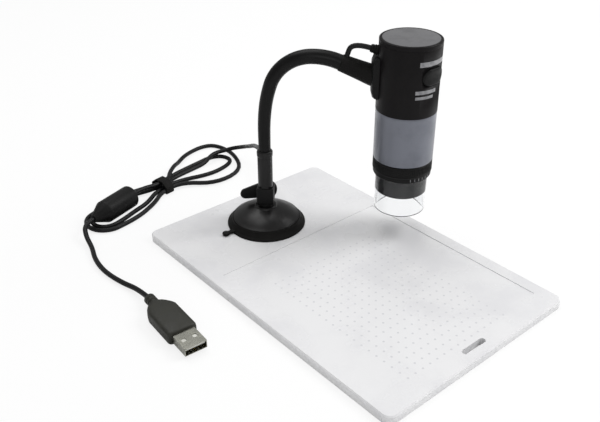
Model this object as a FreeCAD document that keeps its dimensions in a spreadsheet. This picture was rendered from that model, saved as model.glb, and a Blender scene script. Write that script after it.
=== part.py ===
"""Digital microscope on a gooseneck arm, on a suction cup that stands on an observation plate.

Millimetres, +Z up. The origin is the middle of the plate's underside: +X runs across the plate and
+Y along it, towards the suction cup. The arm leaves the cup at a heading between +X and -Y.
"""
import FreeCAD, Part
import math
import os
import re
import Sketcher
from FreeCAD import Placement, Rotation, Vector

doc = FreeCAD.newDocument("microscope")
sheet = doc.addObject("Spreadsheet::Sheet", "sizes")

# Driving dimensions, in mm and degrees, from the plate up to the camera and out to the plug.
DIMENSIONS = (
    # observation plate
    ("plate_width", 130.0),
    ("plate_length", 195.0),
    ("plate_thick", 4.5),
    ("plate_corner", 5.0),
    ("plate_edge", 0.6),
    ("window_depth", 0.3),
    ("window_side", 8.0),
    ("window_front", 13.0),
    ("window_back", 34.0),
    ("slot_length", 16.0),
    ("slot_width", 3.2),
    ("slot_inset", 7.0),
    # suction cup
    ("cup_x", -4.7),
    ("cup_y", 62.2),
    ("skirt_radius", 23.2),
    ("skirt_height", 4.8),
    ("skirt_wall", 2.2),
    ("membrane_thick", 1.2),
    ("dome_radius", 19.6),
    ("dome_rise", 7.2),
    ("dome_wall", 1.8),
    ("boss_radius", 6.2),
    ("boss_rise", 0.3),
    ("tab_reach", 4.4),
    ("tab_width", 3.4),
    ("tab_thick", 1.6),
    ("tab_bulb", 2.2),
    ("tab_heading", 218.0),
    # vacuum lock
    ("block_width", 9.8),
    ("block_depth", 9.2),
    ("block_height", 10.8),
    ("block_edge", 1.2),
    ("pedestal_height", 1.4),
    ("pedestal_radius", 4.4),
    ("stem_radius", 2.0),
    ("stud_flange", 5.0),
    ("shaft_radius", 1.0),
    ("shaft_height", 5.0),
    ("cam_radius", 1.7),
    ("cam_throw", 0.8),
    ("cam_width", 3.0),
    ("cam_play", 0.3),
    ("yoke_wall", 0.9),
    ("lever_gap", 0.4),
    ("lever_thick", 3.0),
    ("lever_hub", 6.0),
    ("lever_reach", 13.6),
    ("lever_tip", 3.0),
    ("lever_droop", 16.0),
    # lower ferrule with the cord outlet
    ("ferrule_radius", 4.3),
    ("ferrule_height", 20.1),
    ("lip_radius", 4.6),
    ("lip_height", 3.2),
    ("tenon_radius", 3.0),
    ("tenon_length", 1.2),
    ("spigot_radius", 2.4),
    ("spigot_length", 6.0),
    ("outlet_heading", 106.0),
    ("outlet_dip", 20.0),
    ("outlet_rise", 0.9),
    ("outlet_bend", 4.6),
    # gooseneck
    ("arm_heading", 45.0),
    ("swivel_length", 10.4),
    ("link_length", 14.75),
    ("first_bend", 6.6),
    ("second_bend", 11.4),
    ("third_bend", 35.0),
    ("fourth_bend", 35.0),
    ("fifth_bend", 23.0),
    ("neck_radius", 3.45),
    ("neck_step", 0.15),
    ("ball_gap", 0.25),
    ("run_gap", 0.05),
    ("seam", 0.1),
    # head sleeve and shoe
    ("sleeve_length", 18.7),
    ("sleeve_mouth", 0.9),
    ("sleeve_narrow", 4.75),
    ("sleeve_wide", 5.7),
    ("port_offset", 3.2),
    ("port_heading", 252.0),
    ("port_bend", 3.4),
    ("shoe_thick", 3.3),
    ("shoe_width", 13.0),
    ("shoe_below", 12.0),
    ("shoe_above", 10.6),
    ("shoe_edge", 1.3),
    ("screw_radius", 1.0),
    ("screw_head", 1.9),
    ("screw_head_height", 1.3),
    ("screw_pitch", 7.4),
    # microscope body, measured up from the tip of the clear nose
    ("axis_drop", 79.4),
    ("nose_radius", 14.6),
    ("nose_wall", 1.6),
    ("nose_length", 22.3),
    ("nose_collar", 15.2),
    ("nose_tenon", 3.6),
    ("tenon_step", 0.6),
    ("collar_height", 1.0),
    ("ring_radius", 16.7),
    ("ring_height", 9.8),
    ("ring_bore", 14.3),
    ("ring_groove", 15.4),
    ("grip_radius", 16.7),
    ("grip_height", 28.8),
    ("grip_wall", 1.5),
    ("housing_radius", 16.8),
    ("housing_height", 37.1),
    ("housing_wall", 1.6),
    ("cap_height", 2.5),
    ("cap_edge", 0.7),
    ("cap_plug", 3.5),
    ("cap_wall", 1.4),
    ("frame_wall", 1.2),
    ("flange_height", 2.0),
    ("frame_top", 3.7),
    # optics and light
    ("holder_drop", 11.3),
    ("holder_floor", 2.0),
    ("holder_wall", 0.8),
    ("barrel_radius", 8.0),
    ("barrel_bore", 6.4),
    ("barrel_length", 17.5),
    ("barrel_lift", 2.5),
    ("focus_travel", 1.6),
    ("pin_radius", 0.8),
    ("lens_radius", 6.35),
    ("lens_curve", 14.0),
    ("lens_thick", 3.4),
    ("lamp_radius", 1.4),
    ("lamp_length", 5.0),
    ("lamp_circle", 10.4),
    ("lamp_count", 8),
    ("board_thick", 1.2),
    ("board_gap", 0.5),
    ("chip_size", 8.0),
    ("chip_thick", 1.5),
    # snapshot button and main board
    ("button_heading", -42.0),
    ("button_length", 15.0),
    ("button_tall", 9.0),
    ("button_proud", 0.8),
    ("button_depth", 5.2),
    ("button_lip", 0.9),
    ("button_travel", 0.5),
    ("button_play", 0.12),
    ("button_height", 22.6),
    ("switch_size", 6.0),
    ("switch_thick", 3.0),
    ("main_board_width", 22.0),
    ("main_board_height", 26.0),
    ("connector_thick", 3.0),
    ("connector_width", 7.0),
    ("connector_height", 5.0),
    ("connector_level", 6.0),
    ("wire_radius", 0.4),
    ("wire_pitch", 1.1),
    ("wire_run", 3.5),
    # cord
    ("cord_radius", 1.4),
    ("cord_play", 0.2),
    ("gland_height", 32.1),
    ("gland_tilt", 15.0),
    ("gland_root", 2.7),
    ("gland_tip", 1.95),
    ("gland_length", 4.2),
    ("gland_flange", 2.9),
    ("hank_x", -27.0),
    ("hank_y", 143.0),
    ("hank_heading", 9.0),
    ("strand_step", 3.4),
    ("strand_rise", 3.2),
    ("choke_u", -26.2),
    ("choke_w", -0.5),
    ("tie_wall", 0.8),
    ("tie_width", 6.0),
    ("tie_slack", 0.15),
    ("choke_radius", 7.0),
    ("choke_body", 23.5),
    ("choke_cone", 9.5),
    ("choke_tip", 2.3),
    ("choke_wall", 1.2),
    ("choke_tilt", 9.0),
    # plug
    ("plug_x", -97.6),
    ("plug_y", 43.2),
    ("plug_heading", -94.0),
    ("plug_neck_radius", 3.0),
    ("plug_neck_length", 7.0),
    ("plug_shoulder", 8.0),
    ("plug_waist", 10.0),
    ("plug_body_width", 16.0),
    ("plug_body_height", 8.0),
    ("plug_body_length", 29.0),
    ("plug_round", 1.6),
    ("shell_width", 12.0),
    ("shell_height", 4.5),
    ("shell_wall", 0.3),
    ("shell_out", 12.5),
    ("shell_in", 6.0),
    ("tongue_thick", 1.8),
    ("contact_width", 1.0),
    ("contact_pitch", 2.5),
)
for row, (alias, value) in enumerate(DIMENSIONS, start=1):
    sheet.set(f"A{row}", alias.replace("_", " "))
    sheet.set(f"B{row}", str(value))
    sheet.setAlias(f"B{row}", alias)
doc.recompute()
ALIASES = {alias for alias, value in DIMENSIONS}
pieces = {}


def linked(formula):
    """The formula with each dimension's name pointing into the sheet."""
    return re.sub(r"[a-z_]+", lambda m: f"sizes.{m.group()}" if m.group() in ALIASES else m.group(), formula)


def num(formula):
    """The number that a formula of dimensions gives; a number stays as it is."""
    if isinstance(formula, str):
        return float(sheet.evalExpression(linked(formula)))
    return float(formula)


def bind(thing, **formulas):
    """Tie properties of one object to the sheet."""
    for name, formula in formulas.items():
        thing.setExpression(name, linked(formula))
    return thing


def at(frame, x=0, y=0, z=0, turn=Rotation()):
    """A place inside a frame."""
    return frame.multiply(Placement(Vector(num(x), num(y), num(z)), turn))


def aimed(frame, x, y, z, direction):
    """A frame at a point whose Z axis points along a direction."""
    return at(frame, x, y, z, Rotation(Vector(0, 0, 1), direction))


def rod(name, frame, radius, low, high):
    """A cylinder on the frame's Z axis between two levels."""
    thing = doc.addObject("Part::Cylinder", name)
    bind(thing, Radius=radius, Height=f"({high}) - ({low})")
    thing.Placement = at(frame, z=low)
    return thing


def cone(name, frame, low_radius, high_radius, low, high):
    """A frustum on the frame's Z axis between two levels."""
    thing = doc.addObject("Part::Cone", name)
    bind(thing, Radius1=low_radius, Radius2=high_radius, Height=f"({high}) - ({low})")
    thing.Placement = at(frame, z=low)
    return thing


def ball(name, frame, radius, x=0, y=0, z=0):
    """A sphere."""
    thing = doc.addObject("Part::Sphere", name)
    bind(thing, Radius=radius)
    thing.Placement = at(frame, x, y, z)
    return thing


def block(name, frame, x, y, z, length, width, height):
    """A box centred on x and y that stands on z."""
    thing = doc.addObject("Part::Box", name)
    bind(thing, Length=length, Width=width, Height=height)
    thing.Placement = at(frame, f"{x} - ({length}) / 2", f"{y} - ({width}) / 2", z)
    return thing


def fuse(name, *parts):
    """One solid from several."""
    thing = doc.addObject("Part::MultiFuse", name)
    thing.Shapes = list(parts)
    return thing


def cut(name, base, *tools):
    """A solid with one or more others taken away."""
    thing = doc.addObject("Part::Cut", name)
    thing.Base = base
    thing.Tool = tools[0] if len(tools) == 1 else fuse(f"{name}_tools", *tools)
    return thing


def ring(name, frame, outer, inner, low, high):
    """A plain tube on the frame's Z axis, its bore run past both faces."""
    bore = rod(f"{name}_bore", frame, inner, f"{low} - 1", f"{high} + 1")
    return cut(name, rod(f"{name}_outer", frame, outer, low, high), bore)


def soften(name, base, size, chosen, kind="Part::Fillet"):
    """Round or chamfer the edges that a test picks."""
    doc.recompute()
    thing = doc.addObject(kind, name)
    thing.Base = base
    edges = [number for number, edge in enumerate(base.Shape.Edges, start=1) if chosen(edge)]
    thing.Edges = [(number, num(size), num(size)) for number in edges]
    return thing


def piece(label, thing):
    """Give a finished sub-part its name."""
    thing.Label = label
    pieces[label] = thing
    return thing


def shaped(label, shape):
    """A sub-part whose form follows a route, made from edges and sections."""
    thing = doc.addObject("Part::Feature", label)
    thing.Shape = shape
    thing.Placement = Placement()
    return thing


def group(label, frame, shapes):
    """Several equal solids under one name."""
    thing = doc.addObject("Part::Feature", label)
    thing.Shape = Part.makeCompound(shapes)
    thing.Placement = frame
    return piece(label, thing)


# Routes: straight runs joined by tangent arcs, and arcs that follow given tangents.


def arc_of(before, corner, after, radius):
    """The two tangent points and the middle point of the arc that rounds one corner."""
    into = (before - corner).normalize()
    out = (after - corner).normalize()
    half = into.getAngle(out) / 2
    reach = radius / math.tan(half)
    middle = corner + (into + out).normalize() * (radius / math.sin(half) - radius)
    return corner + into * reach, middle, corner + out * reach


def natural_radius(before, corner, after):
    """The largest radius that leaves a tenth of the shorter run straight."""
    shorter = min((corner - before).Length, (after - corner).Length)
    turn = math.pi - (before - corner).getAngle(after - corner)
    return 0.45 * shorter / math.tan(turn / 2)


def route(points, radii=None):
    """A wire along straight runs with an arc at each inner point."""
    corners = range(1, len(points) - 1)
    if radii is None:
        radii = [natural_radius(points[i - 1], points[i], points[i + 1]) for i in corners]
    edges = []
    here = points[0]
    for i, radius in zip(corners, radii):
        start, middle, end = arc_of(points[i - 1], points[i], points[i + 1], radius)
        if (start - here).Length > 1e-4:
            edges.append(Part.LineSegment(here, start).toShape())
        edges.append(Part.Arc(start, middle, end).toShape())
        here = end
    if (points[-1] - here).Length > 1e-4:
        edges.append(Part.LineSegment(here, points[-1]).toShape())
    return Part.Wire(edges), radii


def two_arcs(start, start_way, end, end_way):
    """Two arcs, or one line, from one point and direction to another."""
    gap = end - start
    if start_way.getAngle(gap) < 1e-4 and end_way.getAngle(gap) < 1e-4:
        return [Part.LineSegment(start, end).toShape()]
    ways = start_way + end_way
    square = 2 * (1 - start_way.dot(end_way))
    along = gap.dot(ways)
    if square < 1e-6:
        reach = gap.dot(gap) / (4 * gap.dot(end_way))
    else:
        reach = (-along + math.sqrt(along ** 2 + square * gap.dot(gap))) / square
    first = start + start_way * reach
    second = end - end_way * reach
    joint = (first + second) * 0.5
    edges = []
    for a, corner, b in ((start, first, joint), (joint, second, end)):
        into = (a - corner).normalize()
        out = (b - corner).normalize()
        half = into.getAngle(out) / 2
        if half > math.pi / 2 - 1e-4:
            edges.append(Part.LineSegment(a, b).toShape())
            continue
        radius = (a - corner).Length * math.tan(half)
        middle = corner + (into + out).normalize() * (radius / math.sin(half) - radius)
        edges.append(Part.Arc(a, middle, b).toShape())
    return edges


def swept(wire, radius):
    """A round solid along a wire, checked against its section times its length."""
    first = wire.OrderedEdges[0]
    start = first.valueAt(first.FirstParameter)
    way = first.tangentAt(first.FirstParameter)
    section = Part.Wire(Part.makeCircle(radius, start, way))
    solid = wire.makePipeShell([section], True, False)
    expected = math.pi * radius ** 2 * wire.Length
    assert abs(solid.Volume / expected - 1) < 0.02, (solid.Volume, expected)
    return solid


# Frames: the cup's and arm's, and later the microscope's, the hank's and the plug's.
UP = Vector(0, 0, 1)
arm = Placement(Vector(num("cup_x"), num("cup_y"), 0), Rotation(UP, -num("arm_heading")))


def plane_of(body, role):
    """One of a body's own origin planes."""
    return next(item for item in body.Origin.OriginFeatures if item.Role == role)


def polygon(body, name, role, corners):
    """A closed sketch of straight lines, each corner tied to two formulas."""
    sketch = body.newObject("Sketcher::SketchObject", name)
    sketch.AttachmentSupport = [(plane_of(body, role), "")]
    sketch.MapMode = "FlatFace"
    places = [Vector(num(x), num(y), 0) for x, y in corners]
    count = len(places)
    for i in range(count):
        sketch.addGeometry(Part.LineSegment(places[i], places[(i + 1) % count]), False)
    for i in range(count):
        sketch.addConstraint(Sketcher.Constraint("Coincident", i, 2, (i + 1) % count, 1))
    for i, (x, y) in enumerate(corners):
        for axis, formula, value in (("X", x, places[i].x), ("Y", y, places[i].y)):
            number = sketch.addConstraint(Sketcher.Constraint(f"Distance{axis}", -1, 1, i, 1, value))
            sketch.renameConstraint(number, f"corner_{i}_{axis}")
            sketch.setExpression(f"Constraints.corner_{i}_{axis}", linked(formula))
    return sketch


def upright(edge):
    """Whether an edge runs along Z."""
    ends = edge.Vertexes
    return len(ends) == 2 and abs((ends[1].Point - ends[0].Point).normalize().z) > 0.999


def body_edges(shape, chosen):
    """The names of the edges of a feature that a test picks."""
    return [f"Edge{number}" for number, edge in enumerate(shape.Edges, start=1) if chosen(edge)]


# The observation plate: a thick white plastic sheet with a shallow window and a hanging slot.
plate = doc.addObject("PartDesign::Body", "observation_plate")
half_x = "plate_width / 2"
half_y = "plate_length / 2"
sheet_outline = polygon(plate, "plate_outline", "XY_Plane", (
    (f"-{half_x}", f"-{half_y}"),
    (half_x, f"-{half_y}"),
    (half_x, half_y),
    (f"-{half_x}", half_y),
))
slab = plate.newObject("PartDesign::Pad", "plate_pad")
slab.Profile = sheet_outline
bind(slab, Length="plate_thick")
doc.recompute()
corners = plate.newObject("PartDesign::Fillet", "plate_corners")
corners.Base = (slab, body_edges(slab.Shape, upright))
bind(corners, Radius="plate_corner")
doc.recompute()
top = num("plate_thick")
rim = plate.newObject("PartDesign::Chamfer", "plate_rim")
rim.Base = (corners, body_edges(corners.Shape, lambda e: all(abs(v.Z - top) < 1e-6 for v in e.Vertexes)))
bind(rim, Size="plate_edge")
window_outline = polygon(plate, "window_outline", "XY_Plane", (
    (f"window_side - {half_x}", f"window_front - {half_y}"),
    (f"{half_x} - window_side", f"window_front - {half_y}"),
    (f"{half_x} - window_side", "window_back"),
    (f"window_side - {half_x}", "window_back"),
))
bind(window_outline, **{"AttachmentOffset.Base.z": "plate_thick"})
window = plate.newObject("PartDesign::Pocket", "plate_window")
window.Profile = window_outline
bind(window, Length="window_depth")
slot_y = f"slot_inset - {half_y}"
slot_outline = polygon(plate, "slot_outline", "XY_Plane", (
    ("-slot_length / 2", f"{slot_y} - slot_width / 2"),
    ("slot_length / 2", f"{slot_y} - slot_width / 2"),
    ("slot_length / 2", f"{slot_y} + slot_width / 2"),
    ("-slot_length / 2", f"{slot_y} + slot_width / 2"),
))
bind(slot_outline, **{"AttachmentOffset.Base.z": "plate_thick"})
slot = plate.newObject("PartDesign::Pocket", "plate_slot")
slot.Profile = slot_outline
slot.Type = "ThroughAll"
doc.recompute()
assert window.Shape.Volume < rim.Shape.Volume
assert slot.Shape.Volume < window.Shape.Volume
slot_reach = num("slot_length / 2")
slot_edge = num(f"{slot_y}")
ends = plate.newObject("PartDesign::Fillet", "slot_ends")
ends.Base = (slot, body_edges(slot.Shape, lambda e: upright(e) and abs(
    abs(e.Vertexes[0].X) - slot_reach) < 1e-4 and abs(e.Vertexes[0].Y - slot_edge) < num("slot_width")))
bind(ends, Radius="slot_width * 0.48")
piece("observation_plate", plate)

# Suction cup: a rubber skirt and membrane in one, under a hard glossy dome.
skirt_top = "plate_thick + skirt_height"
skirt = cone("skirt", arm, "skirt_radius", "dome_radius", "plate_thick", skirt_top)
hollow = cone("hollow", arm, "skirt_radius - skirt_wall", "dome_radius - skirt_wall - 1",
              "plate_thick - 0.01", f"{skirt_top} - membrane_thick")
tab_turn = Placement(arm.Base, arm.Rotation.multiply(Rotation(UP, num("tab_heading"))))
tab_low = "plate_thick + 0.3"
tab = block("tab", tab_turn, "skirt_radius + tab_reach / 2 - 1", "0", tab_low,
            "tab_reach + 2", "tab_width", "tab_thick")
bulb_frame = at(tab_turn, "skirt_radius + tab_reach")
bulb = rod("bulb", bulb_frame, "tab_bulb", tab_low, f"{tab_low} + tab_thick")
membrane = cut("membrane", fuse("rubber", skirt, tab, bulb), hollow)
piece("cup_membrane", membrane)

cap_radius = "((dome_radius ^ 2 + dome_rise ^ 2) / (2 * dome_rise))"
cap_centre = f"{skirt_top} + dome_rise - {cap_radius}"
dome_top = f"{skirt_top} + dome_rise + boss_rise"
cap = ball("cap", arm, cap_radius, z=cap_centre)
cap_hollow = ball("cap_hollow", arm, f"{cap_radius} - dome_wall", z=cap_centre)
shell_part = doc.addObject("Part::Common", "dome_cap")
shell_part.Base = cap
shell_part.Tool = rod("dome_reach", arm, "dome_radius", skirt_top, dome_top)
rim_ring = rod("dome_rim", arm, "dome_radius", skirt_top, f"{skirt_top} + 0.8")
boss = rod("dome_boss", arm, "boss_radius", f"{skirt_top} + 3.5", dome_top)
chamber = doc.addObject("Part::Common", "dome_chamber")
chamber.Base = cap_hollow
chamber.Tool = rod("chamber_reach", arm, "dome_radius - dome_wall", f"{skirt_top} - 1", f"{skirt_top} + 3.5")
stem_bore = rod("stem_bore", arm, "stem_radius + run_gap", f"{skirt_top} - 1", f"{dome_top} + 1")
under = cut("dome_under", cap_hollow, rod("boss_keep", arm, "boss_radius", f"{skirt_top} + 3.5", dome_top))
space = doc.addObject("Part::Common", "dome_space")
space.Base = under
space.Tool = rod("space_reach", arm, "dome_radius - dome_wall", f"{skirt_top} - 1", dome_top)
piece("cup_dome", cut("dome", fuse("dome_solid", shell_part, boss), space, stem_bore))

# Vacuum lock: the stud pulls the membrane up when the lever's cam stands on top of its throw.
block_low = f"{dome_top} + pedestal_height"
block_top = f"{block_low} + block_height"
pivot_z = f"{block_low} + shaft_height"
yoke_half_x = "cam_radius + cam_throw + 0.2"
yoke_half_z = "cam_radius + cam_play"
cam_z = f"{pivot_z} + cam_throw"
yoke_top = f"{cam_z} + {yoke_half_z} + yoke_wall"
yoke_height = f"2 * ({yoke_half_z} + yoke_wall)"
yoke = block("yoke", arm, "0", "0", f"{yoke_top} - {yoke_height}",
             f"2 * ({yoke_half_x} + yoke_wall)", "cam_width", yoke_height)
yoke_window = block("yoke_window", arm, "0", "0", f"{cam_z} - ({yoke_half_z})",
                    f"2 * ({yoke_half_x})", "cam_width + 2", f"2 * ({yoke_half_z})")
stem = rod("stem", arm, "stem_radius", skirt_top, f"{yoke_top} - {yoke_height} + 0.5")
stud_foot = rod("stud_foot", arm, "stud_flange", skirt_top, f"{skirt_top} + 1.2")
piece("vacuum_stud", cut("stud", fuse("stud_solid", yoke, stem, stud_foot), yoke_window))

across = Vector(0, 1, 0)
pivot = aimed(arm, 0, 0, pivot_z, across)
lever_low = "block_depth / 2 + lever_gap"
shaft = rod("shaft", pivot, "shaft_radius", "1.2 - block_depth / 2", f"{lever_low} + lever_thick")
cam_frame = aimed(arm, 0, 0, cam_z, across)
cam = rod("cam", cam_frame, "cam_radius", "-cam_width / 2", "cam_width / 2")
piece("cam_shaft", fuse("cam_and_shaft", shaft, cam))

lever_high = f"{lever_low} + lever_thick"
hub = rod("hub", pivot, "lever_hub", lever_low, lever_high)
swing = at(arm, 0, 0, pivot_z, Rotation(across, -num("lever_droop")))
tip = rod("tip", aimed(swing, "-lever_reach", 0, 0, across), "lever_tip", lever_low, lever_high)
bar = doc.addObject("Part::Box", "lever_bar")
bind(bar, Length="lever_reach", Width="lever_thick", Height="1.6 * lever_tip")
bar.Placement = at(swing, "-lever_reach", lever_low, "-0.8 * lever_tip")
lever_hole = rod("lever_hole", pivot, "shaft_radius + 0.02", f"{lever_low} - 1", f"{lever_high} + 1")
piece("lock_lever", cut("lever", fuse("lever_solid", hub, tip, bar), lever_hole))

tower = block("tower", arm, "0", "0", block_low, "block_width", "block_depth", "block_height")
tower_round = soften("tower_round", tower, "block_edge", upright)
pedestal = rod("pedestal", arm, "pedestal_radius", dome_top, f"{block_low} + 1")
lock_room = block("lock_room", arm, "0", "0", f"{dome_top} - 1", f"2 * ({yoke_half_x} + yoke_wall + 0.2)",
                  "cam_width + 0.6", f"{yoke_top} + 0.3 - ({dome_top} - 1)")
stem_room = rod("stem_room", arm, "stem_radius + 2 * run_gap", f"{dome_top} - 1",
                f"{yoke_top} - {yoke_height} + 0.6")
shaft_bore = rod("shaft_bore", pivot, "shaft_radius + run_gap", "1 - block_depth / 2", "block_depth")
tenon_hole = rod("tenon_hole", arm, "tenon_radius + 0.02", f"{block_top} - tenon_length - 0.1",
                 f"{block_top} + 1")
piece("socket_block", cut("lock_block", fuse("block_solid", tower_round, pedestal),
                          lock_room, stem_room, shaft_bore, tenon_hole))

# Routes of the gooseneck and of the cord inside it, in the arm's upright plane.
ferrule_top = f"{block_top} + ferrule_height + lip_height"
neck_start = num(ferrule_top) + num("swivel_length")
BENDS = ("first_bend", "second_bend", "third_bend", "fourth_bend", "fifth_bend")


def heading(degrees):
    """The direction in the arm's plane at an angle from straight up, towards the head."""
    angle = math.radians(degrees)
    return Vector(math.sin(angle), 0, math.cos(angle))


joints = [Vector(0, 0, neck_start)]
headings = [0.0]
bend_corners = []
bend_radii = []
for name in BENDS:
    turn = num(name)
    radius = num("link_length") / math.radians(turn)
    tangent = radius * math.tan(math.radians(turn) / 2)
    bend_corners.append(joints[-1] + heading(headings[-1]) * tangent)
    headings.append(headings[-1] + turn)
    joints.append(bend_corners[-1] + heading(headings[-1]) * tangent)
    bend_radii.append(radius)
sleeve_way = heading(headings[-1])
sleeve_end = joints[-1] + sleeve_way * num("sleeve_length")

outlet_angle = math.radians(num("outlet_heading"))
dip = math.radians(num("outlet_dip"))
outlet_way = Vector(math.cos(outlet_angle) * math.cos(dip), math.sin(outlet_angle) * math.cos(dip),
                    -math.sin(dip))
outlet_corner = Vector(0, 0, num(f"{ferrule_top} - lip_height / 2 + outlet_rise"))
outlet_mouth = outlet_corner + outlet_way * (num("lip_radius") / math.cos(dip))

port_angle = math.radians(num("port_heading"))
port_way = Vector(math.cos(port_angle), 0, math.sin(port_angle))
port_corner = joints[-1] + sleeve_way * num("port_offset")
narrow = num("sleeve_narrow") + 0.25
port_mouth = port_corner - port_way * (narrow / math.sin(sleeve_way.getAngle(port_way)))
inner_points = [outlet_mouth, outlet_corner, *bend_corners, port_corner, port_mouth]
inner_radii = [num("outlet_bend"), *bend_radii, num("port_bend")]
inner_wire, inner_radii = route(inner_points, inner_radii)
spare = 2.5
channel_points = [outlet_mouth + outlet_way * spare, *inner_points[1:-1], port_mouth - port_way * spare]
channel_wire, inner_radii = route(channel_points, inner_radii)
channel = shaped("cord_channel", swept(channel_wire, num("cord_radius + cord_play")))
channel.Placement = arm
cord_inside = shaped("cord_inside", swept(inner_wire, num("cord_radius")))
cord_inside.Placement = arm
piece("cord_arm_run", cord_inside)

# Lower ferrule: tenon in the block, cord outlet under the lip, spigot that the neck turns on.
stalk = rod("stalk", arm, "ferrule_radius", block_top, f"{ferrule_top} - lip_height")
lip = rod("lip", arm, "lip_radius", f"{ferrule_top} - lip_height", ferrule_top)
lip_soft = soften("lip_soft", lip, "0.5", lambda e: e.Length > num("lip_radius"))
tenon = rod("tenon", arm, "tenon_radius", f"{block_top} - tenon_length", f"{block_top} + 1")
spigot = rod("spigot", arm, "spigot_radius", f"{ferrule_top} - 1", f"{ferrule_top} + spigot_length")
piece("lower_ferrule", cut("ferrule", fuse("ferrule_solid", stalk, lip_soft, tenon, spigot), channel))

# Gooseneck: a swivel on the spigot, then links that turn on each other like a string of balls.
def neck_size(number):
    """The outer radius of one link; the neck thickens towards the head."""
    return f"neck_radius + {number} * neck_step"


tube = rod("swivel_tube", arm, neck_size(0), f"{ferrule_top} + seam", f"{ferrule_top} + swivel_length")
knuckle = ball("knuckle", arm, neck_size(0), z=f"{ferrule_top} + swivel_length")
counterbore = rod("counterbore", arm, "spigot_radius + run_gap", ferrule_top,
                  f"{ferrule_top} + spigot_length + 0.3")
piece("neck_swivel", cut("swivel", fuse("swivel_solid", tube, knuckle), counterbore, channel))

for number, name in enumerate(BENDS, start=1):
    begin = joints[number - 1]
    way = heading(headings[number - 1])
    side = Vector(way.z, 0, -way.x)
    centre = begin + side * bend_radii[number - 1]
    bow = doc.addObject("Part::Torus", f"bow_{number}")
    bind(bow, Radius1=f"link_length * 180 / (pi * {name})", Radius2=neck_size(number), Angle3=name)
    bow.Placement = arm.multiply(Placement(centre, Rotation(-side, way, Vector(0, 1, 0), "XYZ")))
    end = joints[number]
    knuckle = ball(f"knuckle_{number}", arm, neck_size(number), end.x, end.y, end.z)
    socket = ball(f"socket_{number}", arm, f"{neck_size(number - 1)} + ball_gap", begin.x, begin.y, begin.z)
    link = cut(f"neck_link_{number}", fuse(f"link_solid_{number}", bow, knuckle), socket, channel)
    piece(f"neck_link_{number}", link)

# Head sleeve: a tapered rubber boot from the last ball to the shoe's flat face.
sleeve_frame = aimed(arm, joints[-1].x, 0, joints[-1].z, sleeve_way)
boot = cone("boot", sleeve_frame, "sleeve_narrow", "sleeve_wide", "sleeve_mouth", "sleeve_length + 4")
last = joints[-1]
boot_socket = ball("boot_socket", arm, f"{neck_size(len(BENDS))} + ball_gap", last.x, last.y, last.z)
shoe_face = sleeve_end.x
reach = shoe_face + num("shoe_thick + housing_radius")
beyond = block("beyond_shoe", at(arm, shoe_face, 0, sleeve_end.z), "2 * sleeve_wide", "0", "-3 * sleeve_wide",
               "4 * sleeve_wide", "6 * sleeve_wide", "6 * sleeve_wide")
nose_tip = sleeve_end.z - num("axis_drop")
scope = at(arm, reach, 0, nose_tip)
inward = Vector(-1, 0, 0)
screw_frame = aimed(scope, 0, 0, "axis_drop", inward)
boot_hole = rod("boot_hole", screw_frame, "screw_radius", "housing_radius", "housing_radius + shoe_thick + 5")
piece("head_sleeve", cut("sleeve", boot, boot_socket, channel, beyond, boot_hole))

# Shoe: a curved pad screwed to the housing's side, which carries the sleeve.
pad_length = "shoe_thick + 4"
pad = block("pad", scope, f"-housing_radius - shoe_thick + ({pad_length}) / 2", "0", "axis_drop - shoe_below",
            pad_length, "shoe_width", "shoe_below + shoe_above")
pad_round = soften("pad_round", pad, "shoe_edge", lambda e: all(
    abs(scope.inverse().multVec(v.Point).x + num("housing_radius + shoe_thick")) < 1e-4 for v in e.Vertexes))
fit = rod("shoe_fit", scope, "housing_radius + seam", "axis_drop - shoe_below - 1",
          "axis_drop + shoe_above + 1")
SCREW_LEVELS = ("axis_drop - screw_pitch", "axis_drop + screw_pitch")
threads = [
    rod(f"thread_{i}", aimed(scope, 0, 0, level, inward), "screw_radius", "housing_radius - 1",
        "housing_radius + shoe_thick - 0.6")
    for i, level in enumerate(SCREW_LEVELS)
]
head_room = rod("head_room", screw_frame, "screw_head + 0.1", "housing_radius - 1",
                "housing_radius + screw_head_height + 0.3")
through = rod("through", screw_frame, "screw_radius + 0.1", "housing_radius - 1", "housing_radius + 20")
piece("mount_shoe", cut("shoe", pad_round, fit, *threads, head_room, through))


def screw(radius, head, head_height, length):
    """A cap screw along +Z, its head's top at the origin."""
    shank = Part.makeCylinder(radius, length, Vector(0, 0, head_height))
    return Part.makeCylinder(head, head_height).fuse(shank)


shoe_screws = []
for level in SCREW_LEVELS:
    body = screw(num("screw_radius"), num("screw_head"), num("screw_head_height"),
                 num("housing_wall + shoe_thick - 0.9 + seam"))
    start = num("housing_radius - housing_wall - screw_head_height") - 0.45
    body.Placement = aimed(Placement(), 0, 0, level, inward).multiply(
        Placement(Vector(0, 0, start), Rotation()))
    shoe_screws.append(body)
group("shoe_screws", scope, shoe_screws)
body = screw(num("screw_radius"), num("screw_head"), num("screw_head_height"), num("shoe_thick") + 3.2)
body.Placement = aimed(Placement(), 0, 0, "axis_drop", inward).multiply(
    Placement(Vector(0, 0, num("housing_radius + seam") + 0.15), Rotation()))
group("sleeve_screw", scope, [body])

# Microscope shells, from the clear nose up.
ring_low = "nose_length"
grip_low = "nose_length + ring_height"
housing_low = "nose_length + ring_height + grip_height"
cap_low = f"{housing_low} + housing_height"
nose_top = "nose_length + nose_tenon"
nose_inner = "nose_radius - nose_wall"
nose_tube = rod("nose_tube", scope, "nose_radius", "0", ring_low)
nose_step = rod("nose_step", scope, "nose_radius - tenon_step", ring_low, nose_top)
nose_ring = rod("nose_ring", scope, "nose_collar", f"{nose_top} - collar_height", nose_top)
nose_bore = rod("nose_bore", scope, nose_inner, "-1", f"{nose_top} + 1")
piece("clear_nose", cut("nose", fuse("nose_solid", nose_tube, nose_step, nose_ring), nose_bore))

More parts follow.
